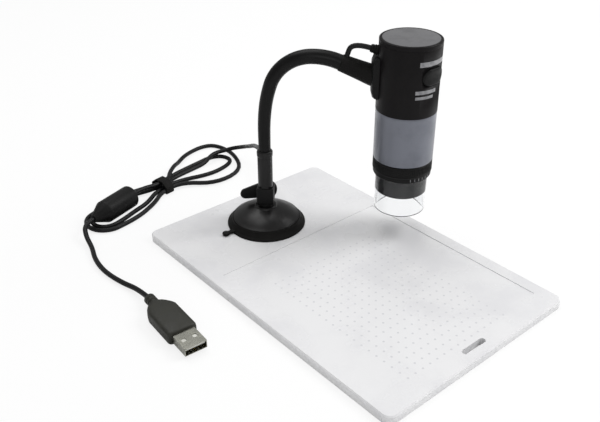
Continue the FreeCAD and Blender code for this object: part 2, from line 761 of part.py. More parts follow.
ring_blank = rod("ring_blank", scope, "ring_radius", f"{ring_low} + seam", f"{grip_low} - seam")
ring_soft = soften("ring_soft", ring_blank, "0.4", lambda e: e.Length > num("ring_radius"), "Part::Chamfer")
ring_hole = rod("ring_hole", scope, "ring_bore", "1", grip_low)
ring_room = rod("ring_room", scope, "ring_groove", f"{nose_top} - collar_height - seam", grip_low)
piece("focus_ring", cut("ring", ring_soft, ring_hole, ring_room))

piece("grip_sleeve", ring("grip", scope, "grip_radius", "grip_radius - grip_wall", grip_low, housing_low))

frame_radius = f"{nose_inner} - run_gap"
flange_radius = "grip_radius - grip_wall - run_gap"
frame_tube = rod("frame_tube", scope, frame_radius, ring_low, f"{housing_low} + frame_top")
low_flange = rod("low_flange", scope, flange_radius, f"{grip_low} - 0.8", f"{grip_low} + flange_height")
high_flange = rod("high_flange", scope, flange_radius, f"{housing_low} - flange_height", housing_low)
tube_bore = "housing_radius - housing_wall"
top_flange = rod("top_flange", scope, f"{tube_bore} - run_gap", housing_low, f"{housing_low} + flange_height")
frame_bore = rod("frame_bore", scope, f"{frame_radius} - frame_wall", "1", f"{housing_low} + frame_top - 1.2")
sight_hole = rod("sight_hole", scope, "chip_size * 0.75", "1", f"{housing_low} + frame_top + 1")
pin_level = f"({nose_top} + {grip_low} - 0.8) / 2"
slot_tall = "2 * (focus_travel + pin_radius + 0.15)"
pin_slot = block("pin_slot", scope, "0", "barrel_radius + 2", f"{pin_level} - ({slot_tall}) / 2",
                 "2 * pin_radius + 0.3", "12", slot_tall)
piece("inner_frame", cut("chassis", fuse("chassis_solid", frame_tube, low_flange, high_flange, top_flange),
                         frame_bore, sight_hole, pin_slot))

housing_blank = rod("housing_blank", scope, "housing_radius", housing_low, cap_low)
housing_bore = rod("housing_bore", scope, tube_bore, "1", f"{cap_low} + 1")
button_level = f"{housing_low} + button_height"
button_side = at(scope, turn=Rotation(UP, num("button_heading")))


def oval(name, low, high, grown):
    """A bar with round ends that points out at the button, between two distances from the axis."""
    tall = f"button_tall + 2 * ({grown})"
    bar = block(name, button_side, f"(({low}) + ({high})) / 2", "0", f"{button_level} - ({tall}) / 2",
                f"({high}) - ({low})", f"button_length + 2 * ({grown})", tall)
    return soften(f"{name}_ends", bar, f"0.49 * ({tall})", lambda e: (
        abs(button_side.inverse().Rotation.multVec(e.tangentAt(e.FirstParameter)).x) > 0.99))


button_hole = oval("button_hole", "8", "housing_radius + 5", "button_play")
gland_angle = math.radians(180 - num("gland_tilt"))
gland_way = Vector(math.cos(gland_angle), 0, math.sin(gland_angle))
gland_frame = aimed(scope, "-housing_radius", 0, f"{housing_low} + gland_height", gland_way)
gland_hole = rod("gland_hole", gland_frame, "gland_root - 0.4 + 0.02", "-6", "6")
shoe_holes = [
    rod(f"shoe_hole_{i}", aimed(scope, 0, 0, level, inward), "screw_radius + 0.1", "8", "housing_radius + 2")
    for i, level in enumerate(SCREW_LEVELS)
]
piece("upper_housing", cut("housing", housing_blank, housing_bore, button_hole, gland_hole, *shoe_holes))

lid = rod("lid", scope, "housing_radius", cap_low, f"{cap_low} + cap_height")
lid_top = num(f"{cap_low} + cap_height") + nose_tip
lid_soft = soften("lid_soft", lid, "cap_edge", lambda e: all(abs(v.Z - lid_top) < 1e-4 for v in e.Vertexes)
                  and e.Length > num("housing_radius"))
lid_plug = rod("lid_plug", scope, f"{tube_bore} - run_gap", f"{cap_low} - cap_plug", f"{cap_low} + 0.5")
lid_room = rod("lid_room", scope, f"{tube_bore} - cap_wall", f"{cap_low} - cap_plug - 1", cap_low)
gland_room = rod("gland_room", gland_frame, "gland_flange + 0.4", "-8", "2")
piece("top_cap", cut("lid_shell", fuse("lid_solid", lid_soft, lid_plug), lid_room, gland_room))

# Focus: the ring's groove drives the pin, and the pin lifts the lens barrel in its guide.
holder_low = "nose_length - holder_drop"
barrel_low = f"{holder_low} + barrel_lift"
barrel_top = f"{barrel_low} + barrel_length"
barrel = ring("barrel", scope, "barrel_radius", "barrel_bore", barrel_low, barrel_top)
pin_frame = aimed(scope, 0, 0, pin_level, across)
pin = rod("pin", pin_frame, "pin_radius", "barrel_bore + 0.5", "ring_groove - 0.25")
stage_ring = ring("stage_ring", scope, "barrel_bore + 0.1", "barrel_bore - 1", f"{barrel_low} + 5",
                  f"{barrel_low} + 6")
piece("lens_carriage", fuse("carriage", barrel, pin, stage_ring))


def lens(label, level):
    """A biconvex lens whose edge sits in the barrel."""
    offset = f"lens_curve - lens_thick / 2"
    low = ball(f"{label}_low", scope, "lens_curve", z=f"{level} + {offset}")
    high = ball(f"{label}_high", scope, "lens_curve", z=f"{level} - ({offset})")
    faces = doc.addObject("Part::Common", f"{label}_faces")
    faces.Base = low
    faces.Tool = high
    disc = doc.addObject("Part::Common", f"{label}_disc")
    disc.Base = faces
    disc.Tool = rod(f"{label}_edge", scope, "lens_radius", f"{level} - lens_thick", f"{level} + lens_thick")
    piece(label, disc)


lens("objective_lens", f"{barrel_low} + 3")
lens("rear_lens", f"{barrel_low} + 10")

# Light: lamps on a ring board look down through the holder around the lens.
holder_radius = f"{frame_radius} - 0.2"
holder_cup = rod("holder_cup", scope, holder_radius, holder_low, ring_low)
guide_radius = "barrel_radius + run_gap"
holder_room = rod("holder_room", scope, f"{holder_radius} - holder_wall", f"{holder_low} + holder_floor",
                  f"{ring_low} + 1")
guide = rod("guide", scope, f"{guide_radius} + holder_wall", f"{holder_low}", ring_low)
guide_bore = rod("guide_bore", scope, guide_radius, f"{holder_low} - 1", f"{ring_low} + 1")
lamp_holes = []
lamps = []
lamp_low = num(holder_low) - 0.4
for i in range(int(num("lamp_count"))):
    angle = 2 * math.pi * (i + 0.5) / num("lamp_count")
    x = num("lamp_circle") * math.cos(angle)
    y = num("lamp_circle") * math.sin(angle)
    lamp_holes.append(rod(f"lamp_hole_{i}", at(scope, x, y), "lamp_radius + 0.05", f"{holder_low} - 1",
                          f"{holder_low} + holder_floor + 1"))
    centre = Vector(x, y, lamp_low + num("lamp_radius"))
    straight = Part.makeCylinder(num("lamp_radius"), num("lamp_length - lamp_radius"), centre)
    lamps.append(straight.fuse(Part.makeSphere(num("lamp_radius"), centre)))
cup_walls = cut("holder_walls", holder_cup, holder_room)
piece("lamp_holder", cut("holder", fuse("holder_solid", cup_walls, guide), guide_bore, *lamp_holes))
group("lamps", scope, lamps)
lamp_board_low = f"{holder_low} - 0.4 + lamp_length"
piece("lamp_board", ring("lamp_board_ring", scope, f"{holder_radius} - holder_wall - seam",
                         f"{guide_radius} + holder_wall + seam", lamp_board_low,
                         f"{lamp_board_low} + board_thick"))

# Camera: the sensor looks down through the frame's top, and the main board stands beside the button.
sensor_low = f"{housing_low} + frame_top"
piece("sensor_board", rod("sensor_disc", scope, f"{frame_radius} - board_gap", sensor_low,
                          f"{sensor_low} + board_thick"))
piece("image_sensor", block("sensor_chip", scope, "0", "0", f"{sensor_low} - chip_thick", "chip_size",
                            "chip_size", "chip_thick"))
board_low = f"{sensor_low} + board_thick"
button_face = "housing_radius + button_proud"
plunger = f"{button_face} - button_depth - 1.2 - button_travel - 0.1"
board_x = f"{plunger} - switch_thick - board_thick / 2"
piece("main_board", block("board_slab", button_side, board_x, "0", board_low, "board_thick",
                          "main_board_width", "main_board_height"))
switch_x = f"{plunger} - switch_thick / 2"
switch_low = f"{button_level} - switch_size / 2"
piece("button_switch", block("switch_box", button_side, switch_x, "0", switch_low, "switch_thick",
                             "switch_size", "switch_size"))
button_cap = doc.addObject("Part::Common", "button_cap")
button_cap.Base = oval("button_bar", f"{button_face} - button_depth - 1.2", f"{button_face} + 1", "0")
button_cap.Tool = rod("button_reach", scope, button_face, housing_low, cap_low)
button_back = oval("button_back", f"{button_face} - button_depth - 1.2", f"{button_face} - button_depth",
                   "button_lip")
piece("snapshot_button", fuse("button", button_cap, button_back))

# Cord gland on the housing, the loop to the sleeve, and the wires to the main board.
gland_body = cone("gland_body", gland_frame, "gland_root", "gland_tip", "0", "gland_length")
gland_plate = rod("gland_plate", gland_frame, "gland_flange", "-housing_wall - 1.8", "-housing_wall - 0.9")
gland_join = rod("gland_join", gland_frame, "gland_root - 0.4", "-housing_wall - 1", "0")
gland_seat = rod("gland_seat", scope, "housing_radius + 0.02", housing_low, f"{cap_low} + 1")
gland_trim = cut("gland_trim", gland_body, gland_seat)
piece("cord_gland", fuse("gland", gland_trim, gland_join, gland_plate))

to_arm = arm.inverse()
gland_mouth = to_arm.multVec(gland_frame.multVec(Vector(0, 0, num("gland_length"))))
gap = port_mouth - gland_mouth
spread = gland_way.x * port_way.z - gland_way.z * port_way.x
loop_corner = gland_mouth + gland_way * ((gap.x * port_way.z - gap.z * port_way.x) / spread)
shorter = min((loop_corner - gland_mouth).Length, (port_mouth - loop_corner).Length)
loop_turn = gland_way.getAngle(port_way)
loop_radius = 0.95 * shorter / math.tan(loop_turn / 2)
loop_wire, loop_radii = route([gland_mouth, loop_corner, port_mouth], [loop_radius])
print("head loop radius", round(loop_radius, 1), "length", round(loop_wire.Length, 1))
loop = shaped("head_loop", swept(loop_wire, num("cord_radius")))
loop.Placement = arm
piece("cord_head_loop", loop)

# Hank: the spare cord, folded into loops that a tie draws together, laid on the surface behind.
hank = Placement(Vector(num("hank_x"), num("hank_y"), 0), Rotation(UP, num("hank_heading")))
low = num("cord_radius")
waist = num("tie_wall + tie_slack + cord_radius") + 0.05
over = waist + num("strand_rise")
step = num("strand_step")
choke_z = num("choke_radius") + 0.1
choke_way = Vector(-math.cos(math.radians(num("choke_tilt"))), -math.sin(math.radians(num("choke_tilt"))), 0)
choke_side = Vector(choke_way.y, -choke_way.x, 0)
choke_face = Vector(num("choke_u"), num("choke_w"), choke_z)
along_choke = 180 + num("choke_tilt")


def facing(degrees, dip=0):
    """The direction at an angle from the hank's own axis, dipping below level."""
    turn = math.radians(degrees)
    down = math.radians(dip)
    return Vector(math.cos(turn) * math.cos(down), math.sin(turn) * math.cos(down), -math.sin(down))


def beside_choke(along, aside, level=low):
    """A point given along and beside the choke."""
    spot = choke_face + choke_way * along + choke_side * aside
    return Vector(spot.x, spot.y, level)


def fold(x, y, radius, *angles):
    """Places and directions along one end of a loop, a left turn about a centre."""
    return [(Vector(x, y, low) - facing(angle + 90) * radius, facing(angle)) for angle in angles]


inner_gap = num("choke_radius + 1.1")
outer_gap = inner_gap + step
first = Vector(63.3, -11.0, 10.8)
stations = [
    (first, facing(76, 25)),
    (first + facing(76, 25) * 3, facing(76, 25)),
    (Vector(60.8, 1.4, 5.6), facing(138, 14)),
    (Vector(51.5, 4.9, 4.85), facing(180, 3)),
    (Vector(38.0, 4.4, low), facing(180)),
    (Vector(14.0, 4.0, 1.7), facing(184)),
    (Vector(0, step / 2, waist), facing(180)),
    (beside_choke(1, inner_gap), choke_way),
    *fold(-49.0, -4.2, 8.3, along_choke, 274, 364),
    (beside_choke(1, -inner_gap), -choke_way),
    (Vector(0, -step / 2, waist), facing(0)),
    (Vector(44.0, -10.0, low), facing(0)),
    (Vector(57.5, -1.0, low), facing(90)),
    (Vector(46.0, 8.2, low), facing(180)),
    (Vector(14.0, 7.4, 1.7), facing(184)),
    (Vector(0, step * 1.5, waist), facing(180)),
    (Vector(-15.0, 9.7, 1.7), facing(168)),
    (beside_choke(1, outer_gap), choke_way),
    *fold(-48.9, -4.4, 12.1, along_choke, 274, 358),
    (Vector(-33.0, -15.7, low), facing(9)),
    (Vector(-20.0, -12.0, low), facing(20)),
    (Vector(0, -step * 1.5, waist), facing(0)),
    (Vector(38.0, -22.2, low), facing(0)),
    (Vector(66.3, 15.0, low), facing(90)),
    (Vector(53.0, 24.8, low), facing(180)),
    (Vector(33.0, 19.5, 2.3), facing(206)),
    (Vector(17.0, 10.0, 5.0), facing(211)),
    (Vector(0, 0, over), facing(180)),
    (choke_face - choke_way * 5, choke_way),
    (choke_face, choke_way),
]
edges = []
for (start, start_way), (end, end_way) in zip(stations, stations[1:]):
    edges += two_arcs(start, start_way, end, end_way)
hank_wire = Part.Wire(edges)
cord_hank = shaped("hank", swept(hank_wire, num("cord_radius")))
cord_hank.Placement = hank
piece("cord_hank", cord_hank)


def least_gap(wire, radius, spacing=0.8):
    """How near a wound tube comes to itself, between points well apart along it."""
    points = wire.discretize(Distance=spacing)
    apart = int(4 * radius * math.pi / spacing)
    closest = min(points[i].distanceToPoint(points[k]) for i in range(len(points))
                  for k in range(i + apart, len(points)))
    return closest - 2 * radius


hank_gap = least_gap(hank_wire, num("cord_radius"))
print("hank length", round(hank_wire.Length, 1), "least gap", round(hank_gap, 2))
hank_radii = [round(edge.Curve.Radius, 1) for edge in edges if hasattr(edge.Curve, "Radius")]
print("hank radii", hank_radii)

# Tie: a flat band that goes round the five strands at the hank's waist.
tie = doc.addObject("PartDesign::Body", "hank_tie")
tie.Placement = hank
side = "1.5 * strand_step + cord_radius + tie_slack"
crown = "cord_radius + tie_slack + 1.1"
foot = "0.05 + tie_wall"
shoulder = f"{foot} + 2 * cord_radius + 0.5"
roof = f"{foot} + 2 * tie_slack + 2 * cord_radius + strand_rise"


def tie_band(name, wall):
    """The band's outline across the hank, a wall outside its inner line."""
    left = f"-({side} + {wall})"
    right = f"{side} + {wall}"
    return polygon(tie, name, "YZ_Plane", (
        (left, f"{foot} - {wall}"),
        (right, f"{foot} - {wall}"),
        (right, f"{shoulder} + 0.4 * {wall}"),
        (f"{crown} + 0.5 * {wall}", f"{roof} + {wall}"),
        (f"-({crown} + 0.5 * {wall})", f"{roof} + {wall}"),
        (left, f"{shoulder} + 0.4 * {wall}"),
    ))


band = tie.newObject("PartDesign::Pad", "tie_pad")
band.Profile = tie_band("tie_outline", "tie_wall")
bind(band, Length="tie_width")
band.Midplane = True
doc.recompute()
opening = tie.newObject("PartDesign::Pocket", "tie_opening")
opening.Profile = tie_band("tie_inside", "0")
opening.Type = "ThroughAll"
opening.Midplane = True
doc.recompute()
assert opening.Shape.Volume < band.Shape.Volume / 2


def tie_corner(edge):
    """Whether an edge is an outer corner of the band, along the hank."""
    first, last = (v.Point for v in (edge.Vertexes[0], edge.Vertexes[-1]))
    outer = abs(first.y) > num(f"{side} + 0.5 * tie_wall") or first.z > num(f"{roof} + 0.5 * tie_wall")
    return outer and abs(abs(first.x - last.x) - num("tie_width")) < 1e-3


rounding = tie.newObject("PartDesign::Fillet", "tie_corners")
rounding.Base = (opening, body_edges(opening.Shape, tie_corner))
bind(rounding, Radius="tie_wall / 2")
piece("hank_tie", tie)

# Choke: a moulded cover over a ferrite bead, with the cord straight through both.
choke = aimed(hank, choke_face.x, choke_face.y, choke_face.z, choke_way)
choke_end = "choke_body + choke_cone"
cover_body = rod("cover_body", choke, "choke_radius", "0", "choke_body")
cover_soft = soften("cover_soft", cover_body, "1.4", lambda e: (
    e.Length > num("choke_radius") and abs(choke.inverse().multVec(e.Vertexes[0].Point).z) < 1e-4))
cover_nose = cone("cover_nose", choke, "choke_radius", "choke_tip", "choke_body", choke_end)
bead_room = rod("bead_room", choke, "choke_radius - choke_wall", "choke_wall", "choke_body - choke_wall")
cover_bore = rod("cover_bore", choke, "cord_radius + 0.05", "-1", f"{choke_end} + 1")
piece("choke_cover", cut("cover", fuse("cover_solid", cover_soft, cover_nose), bead_room, cover_bore))
piece("ferrite_bead", ring("bead", choke, "choke_radius - choke_wall - seam", "cord_radius + cord_play",
                           "choke_wall + seam", "choke_body - choke_wall - seam"))
piece("cord_choke_run", rod("choke_run", choke, "cord_radius", "0", choke_end))

# Plug: overmould, steel shell, tongue and contacts, with its axis level above the surface.
plug = Placement(Vector(num("plug_x"), num("plug_y"), num("plug_body_height / 2")),
                 Rotation(UP, num("plug_heading")))
ahead = Vector(1, 0, 0)
plug_axis = aimed(plug, 0, 0, 0, ahead)
shoulder_x = "plug_neck_length"
body_x = "plug_neck_length + plug_shoulder"
front_x = "plug_neck_length + plug_body_length"
neck = rod("plug_neck", plug_axis, "plug_neck_radius", "0", "plug_neck_length + 1")
taper = doc.addObject("Part::Wedge", "plug_taper")
bind(taper, Ymin="0", Ymax="plug_shoulder", Xmin="-plug_waist / 2", Xmax="plug_waist / 2",
     Zmin="-plug_neck_radius", Zmax="plug_neck_radius", X2min="-plug_body_width / 2",
     X2max="plug_body_width / 2", Z2min="-plug_body_height / 2", Z2max="plug_body_height / 2")
taper.Placement = at(plug, shoulder_x, turn=Rotation(UP, -90))
body = block("plug_body", plug, f"({body_x} + {front_x}) / 2", "0", "-plug_body_height / 2",
             f"{front_x} - ({body_x})", "plug_body_width", "plug_body_height")
overmould = fuse("overmould", neck, taper, body)


def along_plug(edge):
    """Whether an edge of the overmould is one of its long corners, behind the front face."""
    first, last = (plug.inverse().multVec(v.Point) for v in (edge.Vertexes[0], edge.Vertexes[-1]))
    return (last - first).Length > 2 and abs((last - first).normalize().x) > 0.8 and abs(first.y) > 1


over_soft = soften("over_soft", overmould, "plug_round", along_plug)
shell_room = block("shell_room", plug, f"{front_x} - shell_in / 2", "0", "-shell_height / 2 - 0.02",
                   "shell_in + 0.02", "shell_width + 0.04", "shell_height + 0.04")
piece("plug_overmold", cut("overmold", over_soft, shell_room))
shell_blank = block("shell_blank", plug, f"{front_x} + (shell_out - shell_in) / 2", "0", "-shell_height / 2",
                    "shell_out + shell_in", "shell_width", "shell_height")
shell_bore = block("shell_bore", plug, f"{front_x} + (shell_out - shell_in) / 2 + 0.5", "0",
                   "shell_wall - shell_height / 2", "shell_out + shell_in + 0.4",
                   "shell_width - 2 * shell_wall", "shell_height - 2 * shell_wall")
windows = [
    block(f"shell_window_{i}", plug, f"{front_x} + shell_out / 2", f"{side} * shell_width / 4",
          "-shell_height", "2.4", "2.4", "2 * shell_height")
    for i, side in enumerate((-1, 1))
]
piece("plug_shell", cut("shell", shell_blank, shell_bore, *windows))
tongue_length = "shell_out + shell_in - 1.5"
tongue_x = f"{front_x} - shell_in + 0.5 + ({tongue_length}) / 2"
tongue_low = "shell_height / 2 - shell_wall - tongue_thick - 0.05"
piece("plug_tongue", block("tongue", plug, tongue_x, "0", tongue_low, tongue_length,
                           "shell_width - 2 * shell_wall - 0.2", "tongue_thick"))
contacts = []
for i in range(4):
    strip = Part.makeBox(num("shell_out") - 2.5, num("contact_width"), 0.2)
    aside = (i - 1.5) * num("contact_pitch") - num("contact_width") / 2
    strip.translate(Vector(num(f"{front_x}") + 1, aside, num(tongue_low) - 0.2))
    contacts.append(strip)
group("plug_contacts", plug, contacts)

# The lead from the ferrule down to the hank, and the tail from the choke to the plug.
LEAD = (
    (15.0, 61.0, 45.2),
    (34.0, 60.3, 37.9),
    (54.0, 59.8, 29.0),
    (72.0, 60.2, 19.8),
)
lead_points = [arm.multVec(outlet_mouth)]
for out, angle, level in LEAD:
    turn = math.radians(angle)
    lead_points.append(arm.Base + Vector(out * math.cos(turn), out * math.sin(turn), level))
lead_end = hank.multVec(stations[0][0])
lead_points += [lead_end - hank.Rotation.multVec(stations[0][1]) * 7, lead_end]
lead_wire, lead_radii = route(lead_points)
print("lead length", round(lead_wire.Length, 1), "radii", [round(radius, 1) for radius in lead_radii])
piece("cord_lead", shaped("lead", swept(lead_wire, num("cord_radius"))))

tail_start = choke.multVec(Vector(0, 0, num(choke_end)))
tail_way = choke.Rotation.multVec(UP)
plug_back = plug.Base
plug_way = plug.Rotation.multVec(ahead)
tail_points = [
    tail_start,
    tail_start + tail_way * 7.6 - UP * 0.7,
    Vector(-94.6, 118.2, 3.8),
    Vector(-96.0, 108.6, 1.6),
    Vector(-100.4, 97.4, 1.5),
    Vector(-102.2, 83.0, 1.5),
    Vector(-100.0, 67.5, 1.5),
    plug_back - plug_way * 12 - UP * 1.6,
    plug_back,
]
tail_wire, tail_radii = route(tail_points)
print("tail length", round(tail_wire.Length, 1), "radii", [round(radius, 1) for radius in tail_radii])
piece("cord_tail", shaped("tail", swept(tail_wire, num("cord_radius"))))

# Wires from the cord's end in the housing to the connector on the main board.
wires = []
gland_back = gland_frame.multVec(Vector(0, 0, -num("housing_wall") - 1.8))
wire_start = scope.inverse().multVec(gland_back)
wire_run = num("wire_run")
socket_x = num(f"{board_x} - board_thick / 2 - connector_thick - run_gap")
socket_z = num(f"{board_low} + connector_level + connector_height / 2")
board_turn = Rotation(UP, num("button_heading"))
for i in range(4):
    aside = (i - 1.5) * num("wire_pitch")
    points = [
        wire_start + Vector(0, aside, 0),
        wire_start + Vector(wire_run, aside, -wire_run / 2),
        board_turn.multVec(Vector(socket_x - wire_run, aside, socket_z)),
        board_turn.multVec(Vector(socket_x, aside, socket_z)),
    ]
    wires.append(swept(route(points)[0], num("wire_radius")))
group("signal_wires", scope, wires)
connector_x = f"{board_x} - (board_thick + connector_thick) / 2"
piece("board_connector", block("connector", button_side, connector_x, "0", f"{board_low} + connector_level",
                               "connector_thick", "connector_width", "connector_height"))

print("joints", [tuple(round(v, 4) for v in arm.multVec(point)) for point in joints])
print("scope", scope.Base, "reach", reach, "nose tip", nose_tip)
doc.recompute()
problems = [item.Name for item in doc.Objects if {"Invalid", "Error"} & set(item.State)]
assert not problems, problems
os.makedirs("parts", exist_ok=True)
for label, thing in pieces.items():
    shape = thing.Shape
    assert not shape.isNull() and shape.isValid(), label
    solids = shape.Solids
    print(f"{label:20s} solids {len(solids)} volume {shape.Volume:9.1f}")
    shape.exportStep(f"parts/{label}.step")
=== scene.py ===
from math import asin, copysign, cos, pi, radians, sin, sqrt, tan

import bmesh
import bpy
from mathutils import Matrix, Vector


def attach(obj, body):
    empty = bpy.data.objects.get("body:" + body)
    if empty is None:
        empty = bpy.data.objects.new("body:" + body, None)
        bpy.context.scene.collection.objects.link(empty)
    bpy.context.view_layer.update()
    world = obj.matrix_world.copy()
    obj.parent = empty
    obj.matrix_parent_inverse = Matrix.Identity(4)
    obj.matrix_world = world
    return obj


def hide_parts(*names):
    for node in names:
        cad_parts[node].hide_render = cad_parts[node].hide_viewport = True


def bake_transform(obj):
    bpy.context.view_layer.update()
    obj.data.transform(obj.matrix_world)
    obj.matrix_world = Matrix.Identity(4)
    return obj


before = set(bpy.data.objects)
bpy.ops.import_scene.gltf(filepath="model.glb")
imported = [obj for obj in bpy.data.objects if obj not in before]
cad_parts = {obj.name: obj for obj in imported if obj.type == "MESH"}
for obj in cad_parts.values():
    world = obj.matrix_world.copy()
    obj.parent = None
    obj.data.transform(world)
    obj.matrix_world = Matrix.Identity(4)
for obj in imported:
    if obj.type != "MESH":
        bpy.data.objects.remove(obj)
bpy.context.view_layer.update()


# Shared steps: short ways to place things, to close meshes and to wire nodes.
def placed(name, data):
    """An object in the scene that shows the data."""
    thing = bpy.data.objects.new(name, data)
    bpy.context.scene.collection.objects.link(thing)
    return thing


def mesh_of(name, bm):
    """A mesh made from a sketch, which is then let go."""
    mesh = bpy.data.meshes.new(name)
    bm.to_mesh(mesh)
    bm.free()
    return mesh


def settled(thing):
    """The mesh that an object shows, with its modifiers applied."""
    return bpy.data.meshes.new_from_object(thing.evaluated_get(bpy.context.evaluated_depsgraph_get()))


def join_rings(bm, rings, capped=True):
    """Faces from each ring of vertices to the next, with the first and last closed."""
    for lower, upper in zip(rings, rings[1:]):
        for k in range(len(lower)):
            n = (k + 1) % len(lower)
            bm.faces.new((lower[k], lower[n], upper[n], upper[k]))
    if capped:
        bm.faces.new(rings[0])
        bm.faces.new(rings[-1])


def set_inputs(node, **values):
    """Plain values for a node's inputs, by name; an underscore stands for a space."""
    for label, value in values.items():
        node.inputs[label.replace("_", " ")].default_value = value


def feed(tree, value, socket):
    """Link a socket to another one, or set it to a plain value."""
    if isinstance(value, bpy.types.NodeSocket):
        tree.links.new(value, socket)
    else:
        socket.default_value = value


def math_step(tree, operation, *values):
    """The result of a maths node on sockets or plain numbers."""
    node = tree.nodes.new("ShaderNodeMath")
    node.operation = operation
    for value, socket in zip(values, node.inputs):
        feed(tree, value, socket)
    return node.outputs[0]


def noise_step(tree, place, scale, **settings):
    """A soft noise over a place, by its number of patches to the metre."""
    noise = tree.nodes.new("ShaderNodeTexNoise")
    tree.links.new(place, noise.inputs["Vector"])
    feed(tree, scale, noise.inputs["Scale"])
    set_inputs(noise, **settings)
    return noise.outputs["Fac"]


def mix_shaders(tree, share, first, second, end):
    """Shows a share of the second shader over the first."""
    mix = tree.nodes.new("ShaderNodeMixShader")
    for value, socket in zip((share, first.outputs[0], second.outputs[0]), mix.inputs):
        tree.links.new(value, socket)
    tree.links.new(mix.outputs[0], tree.nodes[end].inputs["Surface"])


# Camera: it stands off the plate's front left corner, 0.13 m above the top of the microscope, and
# looks down 31 degrees over the plate.
film_width, focal_pixels, picture_pixels = 36, 776, 600
camera = bpy.data.cameras.new("camera")
camera.sensor_width = film_width
camera.lens = film_width * focal_pixels / picture_pixels
camera.clip_start = 0.01
viewer = placed("camera", camera)
heading, pitch = radians(40.6), radians(31)
sight = Vector((sin(heading) * cos(pitch), cos(heading) * cos(pitch), -sin(pitch)))
viewer.location = (-0.2475, -0.2520, 0.2500)
viewer.rotation_euler = sight.to_track_quat("-Z", "Y").to_euler()
bpy.context.scene.camera = viewer


# Finishes: every moulded or plated surface drifts a little in colour and gloss, and has a fine
# grain. The patterns are shared and each finish sets its own sizes.
def tint(code):
    """A colour written as in a paint chart, as light values."""
    parts = [int(code[i:i + 2], 16) / 255 for i in (1, 3, 5)]
    return [v / 12.92 if v <= 0.04045 else ((v + 0.055) / 1.055) ** 2.4 for v in parts] + [1]


def new_group(name, inputs, outputs):
    """An empty shader group with its sockets, and its two end nodes."""
    group = bpy.data.node_groups.new(name, "ShaderNodeTree")
    for label, kind, value in inputs:
        socket = group.interface.new_socket(label, in_out="INPUT", socket_type=kind)
        socket.default_value = value
    for label, kind in outputs:
        group.interface.new_socket(label, in_out="OUTPUT", socket_type=kind)
    return group, group.nodes.new("NodeGroupInput"), group.nodes.new("NodeGroupOutput")


def make_handling_marks():
    """Cloudy finger marks and dust: a colour and a roughness that drift over the surface."""
    group, given, result = new_group("handling_marks", (
        ("Clean", "NodeSocketColor", (0.02, 0.02, 0.02, 1)),
        ("Worn", "NodeSocketColor", (0.04, 0.04, 0.04, 1)),
        ("Patch Size", "NodeSocketFloat", 0.01),
        ("Shine", "NodeSocketFloat", 0.3),
        ("Dullness", "NodeSocketFloat", 0.5),
    ), (("Colour", "NodeSocketColor"), ("Roughness", "NodeSocketFloat")))
    link = group.links.new
    place = group.nodes.new("ShaderNodeTexCoord")
    rate = math_step(group, "DIVIDE", 1, given.outputs["Patch Size"])
    clouds = noise_step(group, place.outputs["Object"], rate, Detail=5, Roughness=0.6)
    spread = group.nodes.new("ShaderNodeMapRange")
    spread.interpolation_type = "SMOOTHSTEP"
    set_inputs(spread, From_Min=0.42, From_Max=0.68)
    link(clouds, spread.inputs["Value"])
    blend = group.nodes.new("ShaderNodeMix")
    blend.data_type = "RGBA"
    link(spread.outputs["Result"], blend.inputs[0])
    link(given.outputs["Clean"], blend.inputs[6])
    link(given.outputs["Worn"], blend.inputs[7])
    link(blend.outputs[2], result.inputs["Colour"])
    dull = group.nodes.new("ShaderNodeMapRange")
    link(spread.outputs["Result"], dull.inputs["Value"])
    link(given.outputs["Shine"], dull.inputs["To Min"])
    link(given.outputs["Dullness"], dull.inputs["To Max"])
    link(dull.outputs["Result"], result.inputs["Roughness"])
    return group


def make_moulded_grain():
    """The fine skin of a moulding: small bumps with a slow swell under them."""
    group, given, result = new_group("moulded_grain", (
        ("Grain Size", "NodeSocketFloat", 0.0004),
        ("Swell", "NodeSocketFloat", 0.3),
    ), (("Height", "NodeSocketFloat"),))
    place = group.nodes.new("ShaderNodeTexCoord").outputs["Object"]
    grit = noise_step(group, place, math_step(group, "DIVIDE", 1, given.outputs["Grain Size"]), Detail=3)
    swell = noise_step(group, place, 120)
    height = math_step(group, "MULTIPLY_ADD", swell, given.outputs["Swell"], grit)
    group.links.new(height, result.inputs["Height"])
    return group


handling_marks = make_handling_marks()
moulded_grain = make_moulded_grain()


def finish_of(name, clean, worn, shine, dullness, patch=0.009, grain=0.0004, depth=0.00002, swell=0.3,
              **constants):
    """A moulded or plated finish: handling marks for colour and gloss, grain for its relief."""
    material = bpy.data.materials.new(name)
    material.use_nodes = True
    nodes, link = material.node_tree.nodes, material.node_tree.links.new
    shader = nodes["Principled BSDF"]
    marks = nodes.new("ShaderNodeGroup")
    marks.node_tree = handling_marks
    set_inputs(marks, Clean=tint(clean), Worn=tint(worn), Patch_Size=patch, Shine=shine, Dullness=dullness)
    link(marks.outputs["Colour"], shader.inputs["Base Color"])
    link(marks.outputs["Roughness"], shader.inputs["Roughness"])
    skin = nodes.new("ShaderNodeGroup")
    skin.node_tree = moulded_grain
    set_inputs(skin, Grain_Size=grain, Swell=swell)
    bump = nodes.new("ShaderNodeBump")
    set_inputs(bump, Strength=1, Distance=depth)
    link(skin.outputs["Height"], bump.inputs["Height"])
    link(bump.outputs["Normal"], shader.inputs["Normal"])
    set_inputs(shader, **constants)
    return material


# USB cord: one black PVC jacket, 2.8 mm across, from the ferrule's outlet down through the hank
# and the choke to the plug. It is limp, so its loops lie flat and cross in low humps.
cord_jacket = finish_of("cord_jacket", "#0e0e0f", "#151516", 0.4, 0.55, grain=0.0006, depth=0.00001,
                        Specular_IOR_Level=0.2)

